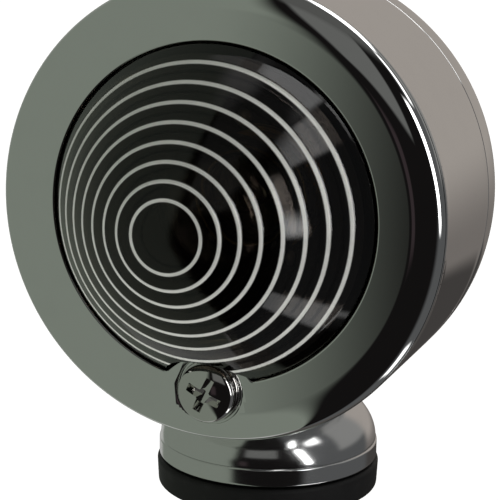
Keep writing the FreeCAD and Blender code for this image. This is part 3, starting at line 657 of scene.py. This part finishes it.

# %% [markdown]
# ## Fitting a piece
# Every finished piece gets its material, rides on one body and stands for its CAD node, which is hidden.
# One helper keeps those three steps together, so that none is forgotten.
# %% Fit a piece to its body


def fit(piece, slot, body, node):
    finish = FINISHES[slot]
    piece.data.materials.clear()
    piece.data.materials.append(finish)
    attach(piece, body)
    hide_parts(node)
    print("%-22s %6d faces" % (piece.name, len(piece.data.polygons)))
    return piece


def arc(centre_radius, centre_height, radius, start, end, steps):
    """Points of an arc in an outline; angles in degrees from +radius towards +height."""
    points = []
    for step in range(steps + 1):
        angle = math.radians(start + (end - start) * step / steps)
        points.append((centre_radius + radius * math.cos(angle), centre_height + radius * math.sin(angle)))
    return points


print("fitting helper ready")

# %% [markdown]
# ## The drum with its domed back
# The housing is deep-drawn sheet: a straight drum that runs into an elliptical dome. It is a thin shell,
# turned from one closed outline. A fine rolled line marks where the dome starts. Inside are the ledge for
# the reflector, the screw post with its web and the pad that the foot's nut pulls against.
# %% Draw the housing
DRUM_LENGTH = 27.0
SEAM = 24.6
DOME_DEPTH = depth_of("housing")[1] - DRUM_LENGTH
SHEET = 1.6
SEAM_GROOVE = [(-0.2, 0.02), (-0.12, 0.12), (0.0, 0.16), (0.12, 0.12), (0.2, 0.04), (0.4, 0.02)]
SEAT_DROP = 27.2
SCREW_DROP = 24.0
LOBE_DROP = 26.6
LEDGE = (25.5, 5.7, 7.3)            # inner radius, front and back
POST_RADIUS = 4.4
POST_BACK = 14.5
SCREW_HOLE = 2.23
WEB_HALF = 2.5
SEAT_RADIUS = 8.6
STUD_HOLE = 5.1


def dome(radius, depth, start, end, steps=36):
    """Quarter ellipse from angle start to end, in degrees, behind the drum."""
    points = []
    for step in range(steps + 1):
        angle = math.radians(start + (end - start) * step / steps)
        points.append((radius * math.cos(angle), DRUM_LENGTH + depth * math.sin(angle)))
    return points


def drum_outline():
    front = depth_of("housing")[0]
    edge, inside = HOUSING_RADIUS, HOUSING_RADIUS - SHEET
    outer = [(edge - 0.25, front), (edge - 0.07, front + 0.07), (edge, front + 0.25)]
    outer += [(edge, front + 0.25 + (SEAM - 0.65 - front) * n / 12) for n in range(1, 13)]
    outer += [(edge - drop, SEAM + along) for along, drop in SEAM_GROOVE]
    outer += [(edge - 0.02, DRUM_LENGTH - 0.8)] + dome(edge - 0.02, DOME_DEPTH, 0, 90)
    inner = dome(inside, DOME_DEPTH - SHEET, 90, 0)
    ledge = [(inside, LEDGE[2]), (LEDGE[0], LEDGE[2]), (LEDGE[0], LEDGE[1]), (inside, LEDGE[1])]
    return outer + inner + ledge + [(inside, front)]


def build_housing():
    shell = turn("housing_shell", drum_outline(), segments=256)
    inside = HOUSING_RADIUS - SHEET / 2
    post = peg("post", POST_RADIUS, 1.9, POST_BACK, 0, SCREW_DROP)
    limit = peg("limit", inside, 1.0, 24.0, segments=128)
    web = block("web", (-WEB_HALF, SCREW_DROP, LEDGE[1]), (WEB_HALF, HOUSING_RADIUS, POST_BACK))
    carve(web, limit, "INTERSECT")
    seat_low = math.sqrt(HOUSING_RADIUS ** 2 - SEAT_RADIUS ** 2) - SHEET / 4
    seat = turn("seat", disc(SEAT_RADIUS, AXIS - seat_low, AXIS - SEAT_DROP), ON_STUD, 96)
    for addition in (post, web, seat):
        carve(shell, addition, "UNION")
    bore = turn("bore", disc(STUD_HOLE, 10.0, 18.0), ON_STUD, 64)
    insert_hole = peg("insert hole", 3.25, 1.0, 9.95, 0, SCREW_DROP)
    pilot = peg("pilot", SCREW_HOLE, 1.0, 12.5, 0, SCREW_DROP)
    for opening in (bore, insert_hole, pilot):
        carve(shell, opening)
    return shell


fit(build_housing(), "chrome_housing", "lamp", "housing")

# %% [markdown]
# ## The bezel
# The bezel carries the whole front: a dead flat polished face that rolls over in a soft shoulder and then
# a tight corner. Its opening is a circle with a lobe for the screw. A boolean would leave long thin faces
# on the roll, so it is swept as a ring grid: every spoke has the same cross-section except its inner end,
# which follows the opening.
# %% Sweep the bezel
OPENING = 22.75
LOBE_RADIUS = 7.6
FLAT_RADIUS = 27.0
SHOULDER = 5.8
SHOULDER_TURN = 39.64
CORNER = 1.655
BEZEL_BACK = 1.8
RIM_BACK = 3.1
SPIGOT = (28.3, 29.4, 3.5)


def opening_at(angle):
    """The opening's radius at an angle from straight down, with the screw's lobe let into it."""
    reach = LOBE_RADIUS ** 2 - (LOBE_DROP * math.sin(angle)) ** 2
    if reach < 0 or math.cos(angle) < 0:
        return OPENING
    return min(OPENING, LOBE_DROP * math.cos(angle) - math.sqrt(reach))


def bezel_section(inner):
    """One spoke of the bezel, as a closed outline from its inner edge outwards over the face."""
    lip = 0.22
    points = [(inner, 0.9), (inner, lip)]
    points += arc(inner + lip, lip, lip, -150, -120, 1)
    points += [(inner + lip, 0.0), (inner + lip + 0.1, 0.0)]
    flat = inner + lip + 0.1
    points += [(flat + (FLAT_RADIUS - 0.1 - flat) * n / 4, 0.0) for n in range(1, 5)]
    steps = 26
    for step in range(steps + 1):
        angle = math.radians(SHOULDER_TURN * step / steps)
        points.append((FLAT_RADIUS + SHOULDER * math.sin(angle), SHOULDER - SHOULDER * math.cos(angle)))
    centre = (HOUSING_RADIUS - CORNER, points[-1][1] + CORNER * math.cos(math.radians(SHOULDER_TURN)))
    for step in range(1, 13):
        angle = math.radians(SHOULDER_TURN + (90 - SHOULDER_TURN) * step / 12)
        points.append((centre[0] + CORNER * math.sin(angle), centre[1] - CORNER * math.cos(angle)))
    points += [(HOUSING_RADIUS, RIM_BACK - 0.15), (HOUSING_RADIUS - 0.05, RIM_BACK - 0.04)]
    points += [(HOUSING_RADIUS - 0.15, RIM_BACK), (SPIGOT[1], RIM_BACK), (SPIGOT[1], SPIGOT[2] - 0.15)]
    points += [(SPIGOT[1] - 0.15, SPIGOT[2]), (SPIGOT[0], SPIGOT[2]), (SPIGOT[0], BEZEL_BACK)]
    points += [(inner + 0.2, BEZEL_BACK), (inner, BEZEL_BACK - 0.2)]
    return points


def sweep_bezel(stations=384):
    rings = []
    for number in range(stations):
        angle = math.tau * number / stations
        spoke = bezel_section(opening_at(angle))
        rings.append([(r * math.sin(angle), r * math.cos(angle), z) for r, z in spoke])
    return skin("bezel_plate", rings)


def build_bezel():
    plate = sweep_bezel()
    notch = block("notch", (-4.7, SCREW_DROP, BEZEL_BACK), (4.7, 29.7, SPIGOT[2] + 0.5))
    limit = peg("notch limit", SPIGOT[1] + 0.05, BEZEL_BACK - 1, SPIGOT[2] + 1, segments=192)
    carve(notch, limit, "INTERSECT")
    hole = peg("hole", SCREW_HOLE, -1, 4.0, 0, SCREW_DROP)
    sink = [(0, 0.6), (4.6, 0.6), (4.6, 0.2), (4.66, 0.06), (4.8, 0.0), (4.9, -0.02), (4.9, -1), (0, -1)]
    counterbore = turn("counterbore", sink, lamp_at(0, SCREW_DROP), 128)
    for tool in (notch, hole, counterbore):
        carve(plate, tool)
    return plate


fit(build_bezel(), "chrome_bezel", "front", "bezel")

# %% [markdown]
# ## The stepped lens
# The lens is a paraboloid cut into eight turned steps round a small flat disc, like a shallow stair. It is
# a rule, so it is turned from an outline that Python writes from the rule. A bite is taken out of its
# lower edge for the screw, and the bite has its own clear wall, so the lens stays closed.
# %% Turn the lens
LENS_RADIUS = 22.5
LENS_RISE = -LENS_TIP
LENS_DISC = 4.7
STEP_PITCH = 2.25
STEPS = 8
RISER = 0.25
FLANGE = (28.0, 1.85, 3.6)          # outer radius, front and back
BITE = 8.0
BITE_WALL = 1.6


def lens_drop(radius):
    return LENS_RISE * (radius / LENS_RADIUS) ** 2 - LENS_RISE


def lens_outline():
    corners = [(0, lens_drop(0))]
    corners += [(LENS_DISC * n / 4, lens_drop(LENS_DISC * n / 4)) for n in (1, 2, 3)]
    for number in range(STEPS):
        edge = LENS_DISC + STEP_PITCH * number
        crest = lens_drop(edge) - (RISER if number else 0)
        corners.append((edge, crest, 0.16))
        corners.append((edge + 0.35, lens_drop(edge) + RISER / 6, 0.13))
    corners += [
        (LENS_RADIUS, 0, 0.3), (LENS_RADIUS, FLANGE[1], 0.2), (FLANGE[0], FLANGE[1], 0.2),
        (FLANGE[0], FLANGE[2], 0.2), (0, FLANGE[2]),
    ]
    return rounded(corners, 0.06)


def lens_hollow():
    bore = LENS_RADIUS - 1.9
    points = []
    for step in range(33):
        share = step / 32
        points.append((bore * share, 2.0 - LENS_RISE + (LENS_RISE - 2.0) * share ** 2))
    return points + [(bore, FLANGE[2] + 1), (0, FLANGE[2] + 1)]


def build_lens():
    lens = turn("stepped_lens", lens_outline(), segments=224)
    carve(lens, peg("bite", BITE, -LENS_RISE - 1, 6, 0, LOBE_DROP, 128))
    hollow = turn("hollow", lens_hollow(), segments=224)
    carve(hollow, peg("bite wall", BITE + BITE_WALL, -LENS_RISE - 1, 8, 0, LOBE_DROP, 128))
    return carve(lens, hollow)


def stepped_acrylic():
    """Acrylic tinted to paint shade into the lamp, with a painted highlight on each turned crest as a fine
    pale line.
    """
    # The brownish tint paints shade into the lamp's inside, seen through the lens.
    material = clear("lens acrylic", (0.36, 0.31, 0.27), 1.49)
    board = Board(material.node_tree)
    spot = board.node("ShaderNodeSeparateXYZ", None, object_place(board))
    across, back, up = (spot.out(n) * (1 / MM) for n in range(3))
    radius = (across ** 2 + (up - AXIS) ** 2) ** 0.5
    place = (radius - LENS_DISC) / STEP_PITCH
    from_crest = abs(place - place.maths("ROUND")) * STEP_PITCH
    # Painted highlight: a pale line along each turned crest, on the lens's outer skin only.
    line = board.ramp(from_crest, 0.13, 0.30, 1.0, 0.0)
    stepped = board.band(place, -0.4, STEPS - 0.6, 0.05)
    skin = back - FACE - (radius / LENS_RADIUS) ** 2 * LENS_RISE + LENS_RISE
    line = line * stepped * board.ramp(skin, 0.5, 0.8, 1.0, 0.0)
    output = material.node_tree.nodes["Material Output"]
    glass = Wire(board, output.inputs["Surface"].links[0].from_socket)
    # A pale matt shader mixed over the glass along the crests paints the highlight.
    pale = {"Base Color": (0.93, 0.93, 0.88), "Metallic": 0.5, "Roughness": 0.5}
    crest_highlight_shader = board.node("ShaderNodeBsdfPrincipled", None, **pale)
    # Random strength along the painted highlight lines.
    wear_and_highlight = 0.75 + speckle(board, 500.0) * 0.3
    mixed = board.node("ShaderNodeMixShader", None, line * wear_and_highlight, glass, crest_highlight_shader.out(0))
    board.feed(output.inputs["Surface"], mixed.out(0))
    return material


FINISHES["lens_clear"] = stepped_acrylic()
fit(build_lens(), "lens_clear", "front", "lens")

# %% [markdown]
# ## The dish behind the lens
# A parabolic dish closes the drum and carries the bulb. It is pressed sheet, so its inside and outside are
# the same curve a sheet's thickness apart. A flat shelf meets the lens's bite round the screw post.
# %% Press the dish
DISH_FRONT = 4.9
DISH_BACK = 5.7
DISH_EDGE = 29.3
POST_GAP = 0.3
RIVET_CIRCLE = 10.2
DISH_MOUTH = 24.2
DISH_FLOOR = 20.0
DISH_FLOOR_RADIUS = 12.0
SHEET_METAL = 0.8


def dish_curve(thickness, steps=28):
    points = []
    for step in range(steps + 1):
        share = step / steps
        radius = math.sqrt(DISH_MOUTH ** 2 - (DISH_MOUTH ** 2 - DISH_FLOOR_RADIUS ** 2) * share)
        points.append((radius + thickness, DISH_FRONT + (DISH_FLOOR - DISH_FRONT) * share + thickness))
    return points


def lobe_plate(name, front, back):
    """The shelf under the lens's bite, trimmed to the dish's own edge."""
    plate = peg(name, BITE + BITE_WALL + 0.3, front, back, 0, LOBE_DROP)
    return carve(plate, peg("edge", DISH_EDGE, front - 1, back + 1, segments=160), "INTERSECT")


RIVET_ANGLES = [math.radians(degrees) for degrees in (70, 130, 250, 310)]
RIVETS = [(RIVET_CIRCLE * math.cos(angle), RIVET_CIRCLE * math.sin(angle)) for angle in RIVET_ANGLES]


def build_dish():
    hole = 8.7
    outline = [(DISH_EDGE, DISH_FRONT)] + dish_curve(0.0)
    outline += [(hole, DISH_FLOOR), (hole, DISH_FLOOR + SHEET_METAL)]
    outline += list(reversed(dish_curve(SHEET_METAL))) + [(DISH_EDGE, DISH_BACK)]
    dish = turn("lamp_dish", outline, segments=160)
    carve(dish, lobe_plate("shelf", DISH_FRONT, DISH_BACK), "UNION")
    carve(dish, peg("post hole", POST_RADIUS + POST_GAP, DISH_FRONT - 1, DISH_FLOOR + 4, 0, SCREW_DROP))
    slot = WEB_HALF + POST_GAP
    carve(dish, block("web slot", (-slot, SCREW_DROP, DISH_BACK), (slot, 29.7, POST_BACK)))
    for across, down in RIVETS:
        carve(dish, peg("rivet hole", 0.75, DISH_FLOOR - 1, DISH_FLOOR + 2, across, down, 24))
    return dish


# Near black: painted shade inside the lamp.
fit(build_dish(), "reflector_dark", "lamp", "reflector")


def build_gasket():
    gasket = turn("lens_seal", bar(24.8, 29.3, 3.7, 4.9, [0.2] * 4, 0.05), segments=160)
    carve(gasket, lobe_plate("seal lobe", 3.7, 4.9), "UNION")
    return carve(gasket, peg("seal hole", POST_RADIUS + POST_GAP, 2.0, 6.0, 0, SCREW_DROP))


fit(build_gasket(), "gasket_rubber", "lamp", "lens_gasket")

# %% [markdown]
# ## The bezel screw
# A pan head with a cross recess holds the bezel. The head is turned, the recess is cut by four tapered
# wings, and the thread is the turning tree's own winding rule, so it really climbs 0.7 mm a turn.
# %% Cut the screw
SCREW_HEAD_TOP = 0.1 - 2.4
SCREW_AT = lamp_at(0, SCREW_DROP)


def threaded(radius, start, end, pitch):
    """Outline points down a threaded run, with a short run-in at each end."""
    count = round(abs(end - start) / (pitch / 6))
    points = []
    for step in range(count + 1):
        height = start + (end - start) * step / count
        run_in = min(1.0, abs(height - start) / pitch, abs(end - height) / pitch)
        points.append((radius, height, run_in))
    return points


def wing(name, turn_angle, length=2.6, width=0.6, depth=1.7, taper=0.65):
    """One bar of the recess: full width at the top, narrower and shorter at its floor."""
    rings = []
    for height, share in ((SCREW_HEAD_TOP - 0.5, 1.12), (SCREW_HEAD_TOP + depth, taper)):
        half, side = length * share, width * (share + 1) / 2
        corners = [(-half, -side), (half, -side), (half, side), (-half, side)]
        rings.append([(x, y, height) for x, y in corners])
    return skin(name, rings, SCREW_AT @ Matrix.Rotation(turn_angle, 4, "Z"), closed=False)


RECESS_TURN = math.radians(24)


def build_screw():
    head = [(4.0 * math.sin(math.radians(a)), SCREW_HEAD_TOP + 1.32 * (1 - math.cos(math.radians(a))))
            for a in range(0, 85, 4)]
    head += [(3.995, SCREW_HEAD_TOP + 1.25), (4.0, SCREW_HEAD_TOP + 1.42), (4.0, SCREW_HEAD_TOP + 2.2)]
    head += [(3.9, SCREW_HEAD_TOP + 2.4), (1.93, SCREW_HEAD_TOP + 2.4)]
    shank = threaded(1.93, 0.3, 11.4, 0.7) + [(1.2, 12.1), (0, 12.1)]
    screw = turn("pan_screw", head + shank, SCREW_AT, 96, pitch=0.7, thread=0.38)
    for number in (0, 1):
        carve(screw, wing("wing", RECESS_TURN + number * math.pi / 2))
    core = [(0, -1), (1.15, -1), (0.75, 1.4), (0, 1.6)]
    return carve(screw, turn("core", [(r, SCREW_HEAD_TOP + z) for r, z in core], SCREW_AT, 32))


fit(build_screw(), "screw_steel", "bezel_screw", "bezel_screw")


seal_ring = turn("screw_seal_ring", bar(2.03, 4.3, 0.13, 0.6, (0.1, 0.15, 0.15, 0.1), 0.03), SCREW_AT, 96)
fit(seal_ring, "screw_steel", "screw_washer", "screw_washer")

# %% [markdown]
# ## The foot, its pad and the hollow stud
# The foot is a rounded bead, then a dome that narrows to a straight neck, and a saddle cut by the drum
# itself, so the two surfaces meet everywhere. The rubber pad keeps chrome off the paint.
# %% Turn the foot
PAD_TOP = span("base_pad", 2)[1]
FOOT_RADIUS = span("pedestal", 0)[1]
FOOT_BASE = PAD_TOP + 0.15
BEAD_TOP = FOOT_BASE + 2.8
NECK = 10.6
FLARE_TOP = 14.0


def foot_outline():
    bead = rounded([
        (9.6, FOOT_BASE, 0.1), (FOOT_RADIUS, FOOT_BASE, 0.55), (FOOT_RADIUS, BEAD_TOP - 0.2, 0.2),
        (FOOT_RADIUS - 0.22, BEAD_TOP - 0.04, 0.05),
    ], 0.05)
    flare = []
    start = FOOT_RADIUS - 0.18
    for step in range(41):
        share = step / 40
        radius = math.sqrt(start ** 2 - (start ** 2 - NECK ** 2) * share ** 2)
        flare.append((radius, BEAD_TOP + 0.02 + (FLARE_TOP - BEAD_TOP) * share))
    neck = [(NECK, FLARE_TOP + 0.5 + n * 1.1) for n in range(9)] + [(NECK, AXIS - HOUSING_RADIUS + NECK)]
    bore = [(5.1, AXIS - HOUSING_RADIUS + NECK), (5.1, 8.7), (9.6, 8.7)]
    return bead + flare + neck + bore


def build_foot():
    foot = turn("trumpet_foot", foot_outline(), ON_STUD, 192)
    solid_drum = dome(HOUSING_RADIUS + 0.05, DOME_DEPTH + 0.05, 0, 90)
    saddle = turn("saddle", [(0, 0), (HOUSING_RADIUS + 0.05, 0)] + solid_drum, segments=256)
    return carve(foot, saddle)


fit(build_foot(), "chrome_foot", "lamp", "pedestal")


def build_pad():
    outline = rounded([
        (5.3, 0.0, 0.2), (12.0, 0.0), (12.4, 0.35), (12.8, 0.0), (16.1, 0.0, 0.5),
        (16.3, PAD_TOP - 0.02, 0.55), (13.5, PAD_TOP - 0.01), (5.3, PAD_TOP, 0.2),
    ], 0.08)
    return turn("rubber_pad", outline, ON_STUD, 160)


fit(build_pad(), "pad_rubber", "pad", "base_pad")

# %% [markdown]
# ## Threads and nuts
# The stud is threaded only where a nut can reach, which is also where a thread can be seen. A nut is a
# turned ring whose radius is capped by six flats, and its 30 degree chamfers come from the outline.
# %% Thread the stud and turn the nuts
STUD_LOW, STUD_HIGH = span("mounting_stud", 2)


def build_stud():
    outside = [(4.4, STUD_LOW)] + threaded(5.0, STUD_LOW + 0.6, -0.5, 1.0)
    outside += [(5.0, 4.0), (5.0, 13.0)] + threaded(5.0, 13.5, STUD_HIGH - 0.6, 1.0) + [(4.4, STUD_HIGH)]
    bore = [(3.7, STUD_HIGH), (3.5, STUD_HIGH - 0.2), (3.5, STUD_LOW + 0.2), (3.7, STUD_LOW)]
    return turn("hollow_stud", outside + bore, ON_STUD, 96, pitch=1.0, thread=0.55, sharp=math.radians(50))


fit(build_stud(), "stud_steel", "lamp", "mounting_stud")


def build_nut(name, node, flats):
    low, high = span(node, 2)
    corner, face = flats * 0.56, flats * 0.47
    chamfer = (corner - face) * 0.5
    outline = [
        (5.45, low), (face, low), (corner, low + chamfer), (corner, high - chamfer), (face, high),
        (5.45, high), (5.07, high - 0.4), (5.07, low + 0.4),
    ]
    return turn(name, outline, ON_STUD, 144, flats=flats, sharp=math.radians(25))


NUTS = [
    ("mounting_nut", "panel_nut", 17.0, "panel_nut"), ("foot_nut", "pedestal_nut", 14.0, "lamp"),
    ("drum_nut", "housing_nut", 14.0, "lamp"),
]
for name, node, flats, body in NUTS:
    fit(build_nut(name, node, flats), "stud_steel", body, node)

# %% [markdown]
# ## Washers
# The plain washer is stamped, so one edge is rounder than the other. The split washer is a short length
# of square spring wire, wound as a helix whose ends stand apart. The toothed washer's teeth are twisted.
# %% Make the washers


def build_plain_washer():
    low, high = span("panel_washer", 2)
    return turn("plain_washer", bar(5.3, 10.0, low, high, (0.15, 0.15, 0.5, 0.3)), ON_STUD, 128)


fit(build_plain_washer(), "washer_steel", "nut_washers", "panel_washer")


def build_split_washer(steps=120):
    low, high = span("panel_lock_washer", 2)
    gap = 1.2 / 7.0 / math.tau
    section = bar(5.3, 8.7, low, high - 0.3, [0.15] * 4, 0.05)
    rings = []
    for share in (step / steps for step in range(steps + 1)):
        angle = math.tau * (1 - gap) * share + math.pi * gap
        rings.append([(r * math.cos(angle), r * math.sin(angle), z + 0.3 * share) for r, z in section])
    return skin("split_washer", rings, ON_STUD, closed=False)


fit(build_split_washer(), "washer_steel", "nut_washers", "panel_lock_washer")


def build_tooth_washer(teeth=12):
    low, high = span("housing_lock_washer", 2)
    middle = (low + high) / 2
    rings = []
    for number in range(teeth * 8):
        angle = math.tau * number / (teeth * 8)
        phase = (number % 8) / 8
        tip, twist = (7.75, (phase - 0.25) * 0.84) if phase < 0.5 else (6.6, 0.0)
        section = [(5.15, -0.3), (6.5, -0.3), (tip, twist - 0.28), (tip, twist + 0.28)]
        section += [(6.5, 0.3), (5.15, 0.3)]
        rings.append([
            (r * math.cos(angle), r * math.sin(angle), max(low, min(high, middle + z))) for r, z in section
        ])
    return skin("toothed_washer", rings, ON_STUD)


fit(build_tooth_washer(), "washer_steel", "lamp", "housing_lock_washer")

# %% [markdown]
# ## Coiled wire
# A spring and a filament are the same rule at two sizes: a spiral path with a round wire along it. A
# second Geometry Nodes tree winds both, from named inputs for the turns, the radii and the length.
# %% Wind the spring and the filament
COIL_INPUTS = [
    ("Turns", "NodeSocketFloat"), ("Radius", "NodeSocketFloat"), ("Length", "NodeSocketFloat"),
    ("Wire", "NodeSocketFloat"), ("Steps", "NodeSocketInt"), ("Material", "NodeSocketMaterial"),
]


def build_coil_tree():
    board, given = new_tree("winding", COIL_INPUTS)
    spiral = board.node(
        "GeometryNodeCurveSpiral", None, Resolution=given.out("Steps"), Rotations=given.out("Turns"),
        Start_Radius=given.out("Radius"), End_Radius=given.out("Radius"), Height=given.out("Length"),
    ).out(0)
    wire = board.node("GeometryNodeCurvePrimitiveCircle", None, Resolution=14)
    board.feed(wire.node.inputs["Radius"], given.out("Wire"))
    tube = board.node("GeometryNodeCurveToMesh", None, spiral, wire.out(0), Fill_Caps=True).out(0)
    return end_tree(board, given, tube)


WINDING = build_coil_tree()
ROUND_WIRE = math.radians(60)


def wind(name, turns, radius, length, wire, steps, place):
    lengths = {"Radius": radius * MM, "Length": length * MM, "Wire": wire * MM}
    return grow(name, [], WINDING, {"Turns": turns, "Steps": steps, **lengths}, place, ROUND_WIRE)


SPRING_FRONT, SPRING_BACK = depth_of("contact_spring")


def build_spring():
    wire = 0.32
    length = SPRING_BACK - SPRING_FRONT - 2 * wire
    spring = wind("contact_spring_coil", 3.0, 5.2, length, wire, 48, lamp_at(0, 0, SPRING_FRONT + wire))
    return spring


spring = fit(build_spring(), "spring_steel", "lamp", "contact_spring")
FILAMENT_DEPTH = 6.0
sideways = lamp_at(-2.6, 0, FILAMENT_DEPTH) @ Matrix.Rotation(math.pi / 2, 4, "Y")
filament = wind("filament_coil", 15.0, 0.3, 5.2, 0.075, 14, sideways)
fit(filament, "filament_wire", "bulb", "filament")

# %% [markdown]
# ## The bulb
# The bulb is blown glass on a pressed brass cap. The globe runs into its neck in a smooth fillet, because
# glass never turns a sharp corner. Two bent wires hold the filament above a flared glass stem.
# %% Blow the glass and press the cap


def glass_outline():
    globe, neck, wall, middle, end = 9.5, 6.8, 0.8, 6.5, 17.0
    meet = math.degrees(math.acos((neck + 3.0) / (globe + 3.0)))
    fillet_height = middle + (globe + 3.0) * math.sin(math.radians(meet))
    outer = arc(0, middle, globe, -90, meet, 44)
    outer += arc(neck + 3.0, fillet_height, 3.0, 180 + meet, 180, 8)
    outer += [(neck, end - 0.1), (neck - 0.1, end), (neck - wall + 0.1, end), (neck - wall, end - 0.1)]
    inner = arc(neck + 3.0, fillet_height, 3.0 + wall, 180, 180 + meet, 8)
    inner += arc(0, middle, globe - wall, meet, -90, 40)
    return outer + inner


fit(turn("bulb_globe", glass_outline(), segments=128), "bulb_glass", "bulb", "bulb_glass")
CAP_FRONT, CAP_BACK = depth_of("bulb_cap")


def build_cap():
    outline = rounded([
        (7.1, CAP_FRONT, 0.1), (7.6, CAP_FRONT, 0.2), (7.6, CAP_BACK - 0.8, 0.8), (6.0, CAP_BACK, 0.4),
        (5.0, CAP_BACK, 0.1), (5.0, CAP_BACK - 0.5, 0.1), (6.6, CAP_BACK - 0.6, 0.3),
        (7.1, CAP_BACK - 1.3, 0.4),
    ], 0.05)
    cap = turn("bulb_base", outline, segments=128)
    across = lamp_at(0, 0, CAP_BACK - 6.5) @ Matrix.Rotation(math.pi / 2, 4, "Y")
    return carve(cap, turn("drill", disc(1.05, -9, 9), across, 32))


fit(build_cap(), "cap_brass", "bulb", "bulb_cap")


def build_solder():
    front, back = depth_of("solder_contact")
    dome_points = [(2.6 * math.cos(math.radians(a)), front + (back - front) * math.sin(math.radians(a)))
                   for a in range(0, 91, 9)]
    return turn("solder_drop", [(0, front)] + dome_points, segments=48)


fit(build_solder(), "solder", "bulb", "solder_contact")


def rod(name, points, radius, place):
    """A round wire along a smooth NURBS line, with closed ends."""
    curve = bpy.data.curves.new(name, "CURVE")
    curve.dimensions = "3D"
    curve.bevel_depth = radius * MM
    curve.bevel_resolution = 3
    curve.use_fill_caps = True
    line = curve.splines.new("NURBS")
    line.points.add(len(points) - 1)
    for point, spot in zip(line.points, points):
        point.co = (spot[0] * MM, spot[1] * MM, spot[2] * MM, 1)
    line.order_u = 3
    line.use_endpoint_u = True
    line.resolution_u = 6
    bent = show(name, curve)
    bpy.context.view_layer.update()
    mesh = bpy.data.meshes.new_from_object(bent.evaluated_get(bpy.context.evaluated_depsgraph_get()))
    bpy.data.objects.remove(bent)
    mesh.transform(place)
    return clean(show(name, mesh), ROUND_WIRE)


def join(name, pieces):
    """Puts several meshes into one piece."""
    shape = bmesh.new()
    for piece in pieces:
        shape.from_mesh(piece.data)
    mesh = bpy.data.meshes.new(name)
    shape.to_mesh(mesh)
    shape.free()
    for piece in pieces:
        bpy.data.objects.remove(piece)
    return clean(show(name, mesh), ROUND_WIRE)


def build_supports():
    sides = []
    for side in (-1, 1):
        path = [(3.0 * side, 0, 15.9), (3.0 * side, 0, 12.0), (3.05 * side, 0, 8.0), (3.0 * side, 0, 6.4),
                (3.0 * side, 0, 5.85), (2.85 * side, 0, 5.85), (2.8 * side, 0, 6.2)]
        sides.append(rod("support", path, 0.24, ON_LAMP))
    return join("filament_supports", sides)


fit(build_supports(), "spring_steel", "bulb", "filament_posts")

# %% [markdown]
# ## Rivets round the socket
# Four small rivets hold the socket to the dish. One rivet is turned, and a third tree sets a copy at each
# vertex of a small point mesh, which is how rivets, screws and studs are repeated on any object.
# %% Set the rivets
RIVET_INPUTS = [("Rivet", "NodeSocketObject"), ("Material", "NodeSocketMaterial")]


def build_rivet_tree():
    board, given = new_tree("riveting", RIVET_INPUTS)
    source = board.node("GeometryNodeObjectInfo", None, given.out("Rivet"))
    spots = board.node("GeometryNodeMeshToPoints", None, given.out("Geometry")).out(0)
    copies = board.node("GeometryNodeInstanceOnPoints", None, spots, Instance=source.out("Geometry")).out(0)
    return end_tree(board, given, copies)


RIVETING = build_rivet_tree()


def build_rivets():
    front, back = depth_of("socket_rivets")
    head = 0.5
    outline = [(0, front), (0.45, front + 0.03), (0.85, front + 0.14), (1.1, front + 0.34)]
    outline += [(1.15, front + head), (0.7, front + head), (0.7, back - head), (1.15, back - head)]
    outline += [(1.05, back - 0.1), (0.8, back), (0, back)]
    one = turn("one_rivet", outline, ON_STUD, 24)
    spots = [(x * MM, y * MM, 0) for x, y in RIVETS]
    ring = grow("socket_rivet_ring", spots, RIVETING, {"Rivet": one}, ON_LAMP)
    bpy.data.objects.remove(one)
    return ring


fit(build_rivets(), "rivet_steel", "lamp", "socket_rivets")

# %% [markdown]
# ## Pieces that stay as the CAD drew them
# The socket's tube, the contacts and the insulators already have their right shape. They keep their CAD
# meshes and only change their finish.
# %% Refinish the carried-over nodes
KEPT = {
    "socket_shell": "socket_brass", "rear_insulator": "insulator_board", "contact_carrier": "insulator_board",
    "contact_button": "contact_brass", "screw_insert": "contact_brass", "glass_stem": "bulb_glass",
    "cap_insulator": "black_glass", "wire_ferrule": "ferrule_rubber", "bayonet_pins": "cap_brass",
}
for node, finish in KEPT.items():
    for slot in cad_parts[node].material_slots:
        slot.material = FINISHES[finish]
print("refinished", len(KEPT), "nodes")

# %% [markdown]
# ## The spring's pressed length
# When the bulb is pressed home the contact moves 2 mm back. The spring gets a mesh of its own, and its
# free and pressed lengths are printed.
# %% Give the spring its own mesh
TRAVEL = 2.0
spring_length = SPRING_BACK - SPRING_FRONT
(FACE + SPRING_BACK) * MM
(spring_length - TRAVEL) / spring_length
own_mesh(spring)
print("spring", round(spring_length, 2), "mm, pressed", round(spring_length - TRAVEL, 2))

# %% [markdown]
# ## The floor
# A plain pale floor lies a little below the stud, so that the nut still clears it when it is unscrewed
# past the stud's end. Glossy rays pass it, so the chrome keeps reflecting the designed room.
# %% Lay the floor
FLOOR_GAP = 0.0066


def build_floor(reach=3.0):
    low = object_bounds()[0][2] - FLOOR_GAP
    mesh = bpy.data.meshes.new("floor")
    corners = [(-reach, -reach, low), (reach, -reach, low), (reach, reach, low), (-reach, reach, low)]
    mesh.from_pydata(corners, [], [(0, 1, 2, 3)])
    floor = show("floor", mesh)
    material, board, shader = start_finish(
        "floor paint", (0.9, 0.9, 0.9), Emission_Color=(1, 1, 1), Emission_Strength=0.75,
    )
    mesh.materials.append(material)
    floor.visible_glossy = False
    floor.visible_transmission = False
    floor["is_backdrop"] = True
    return floor


floor = build_floor()
print("floor at z", round(floor.data.vertices[0].co.z / MM, 2))
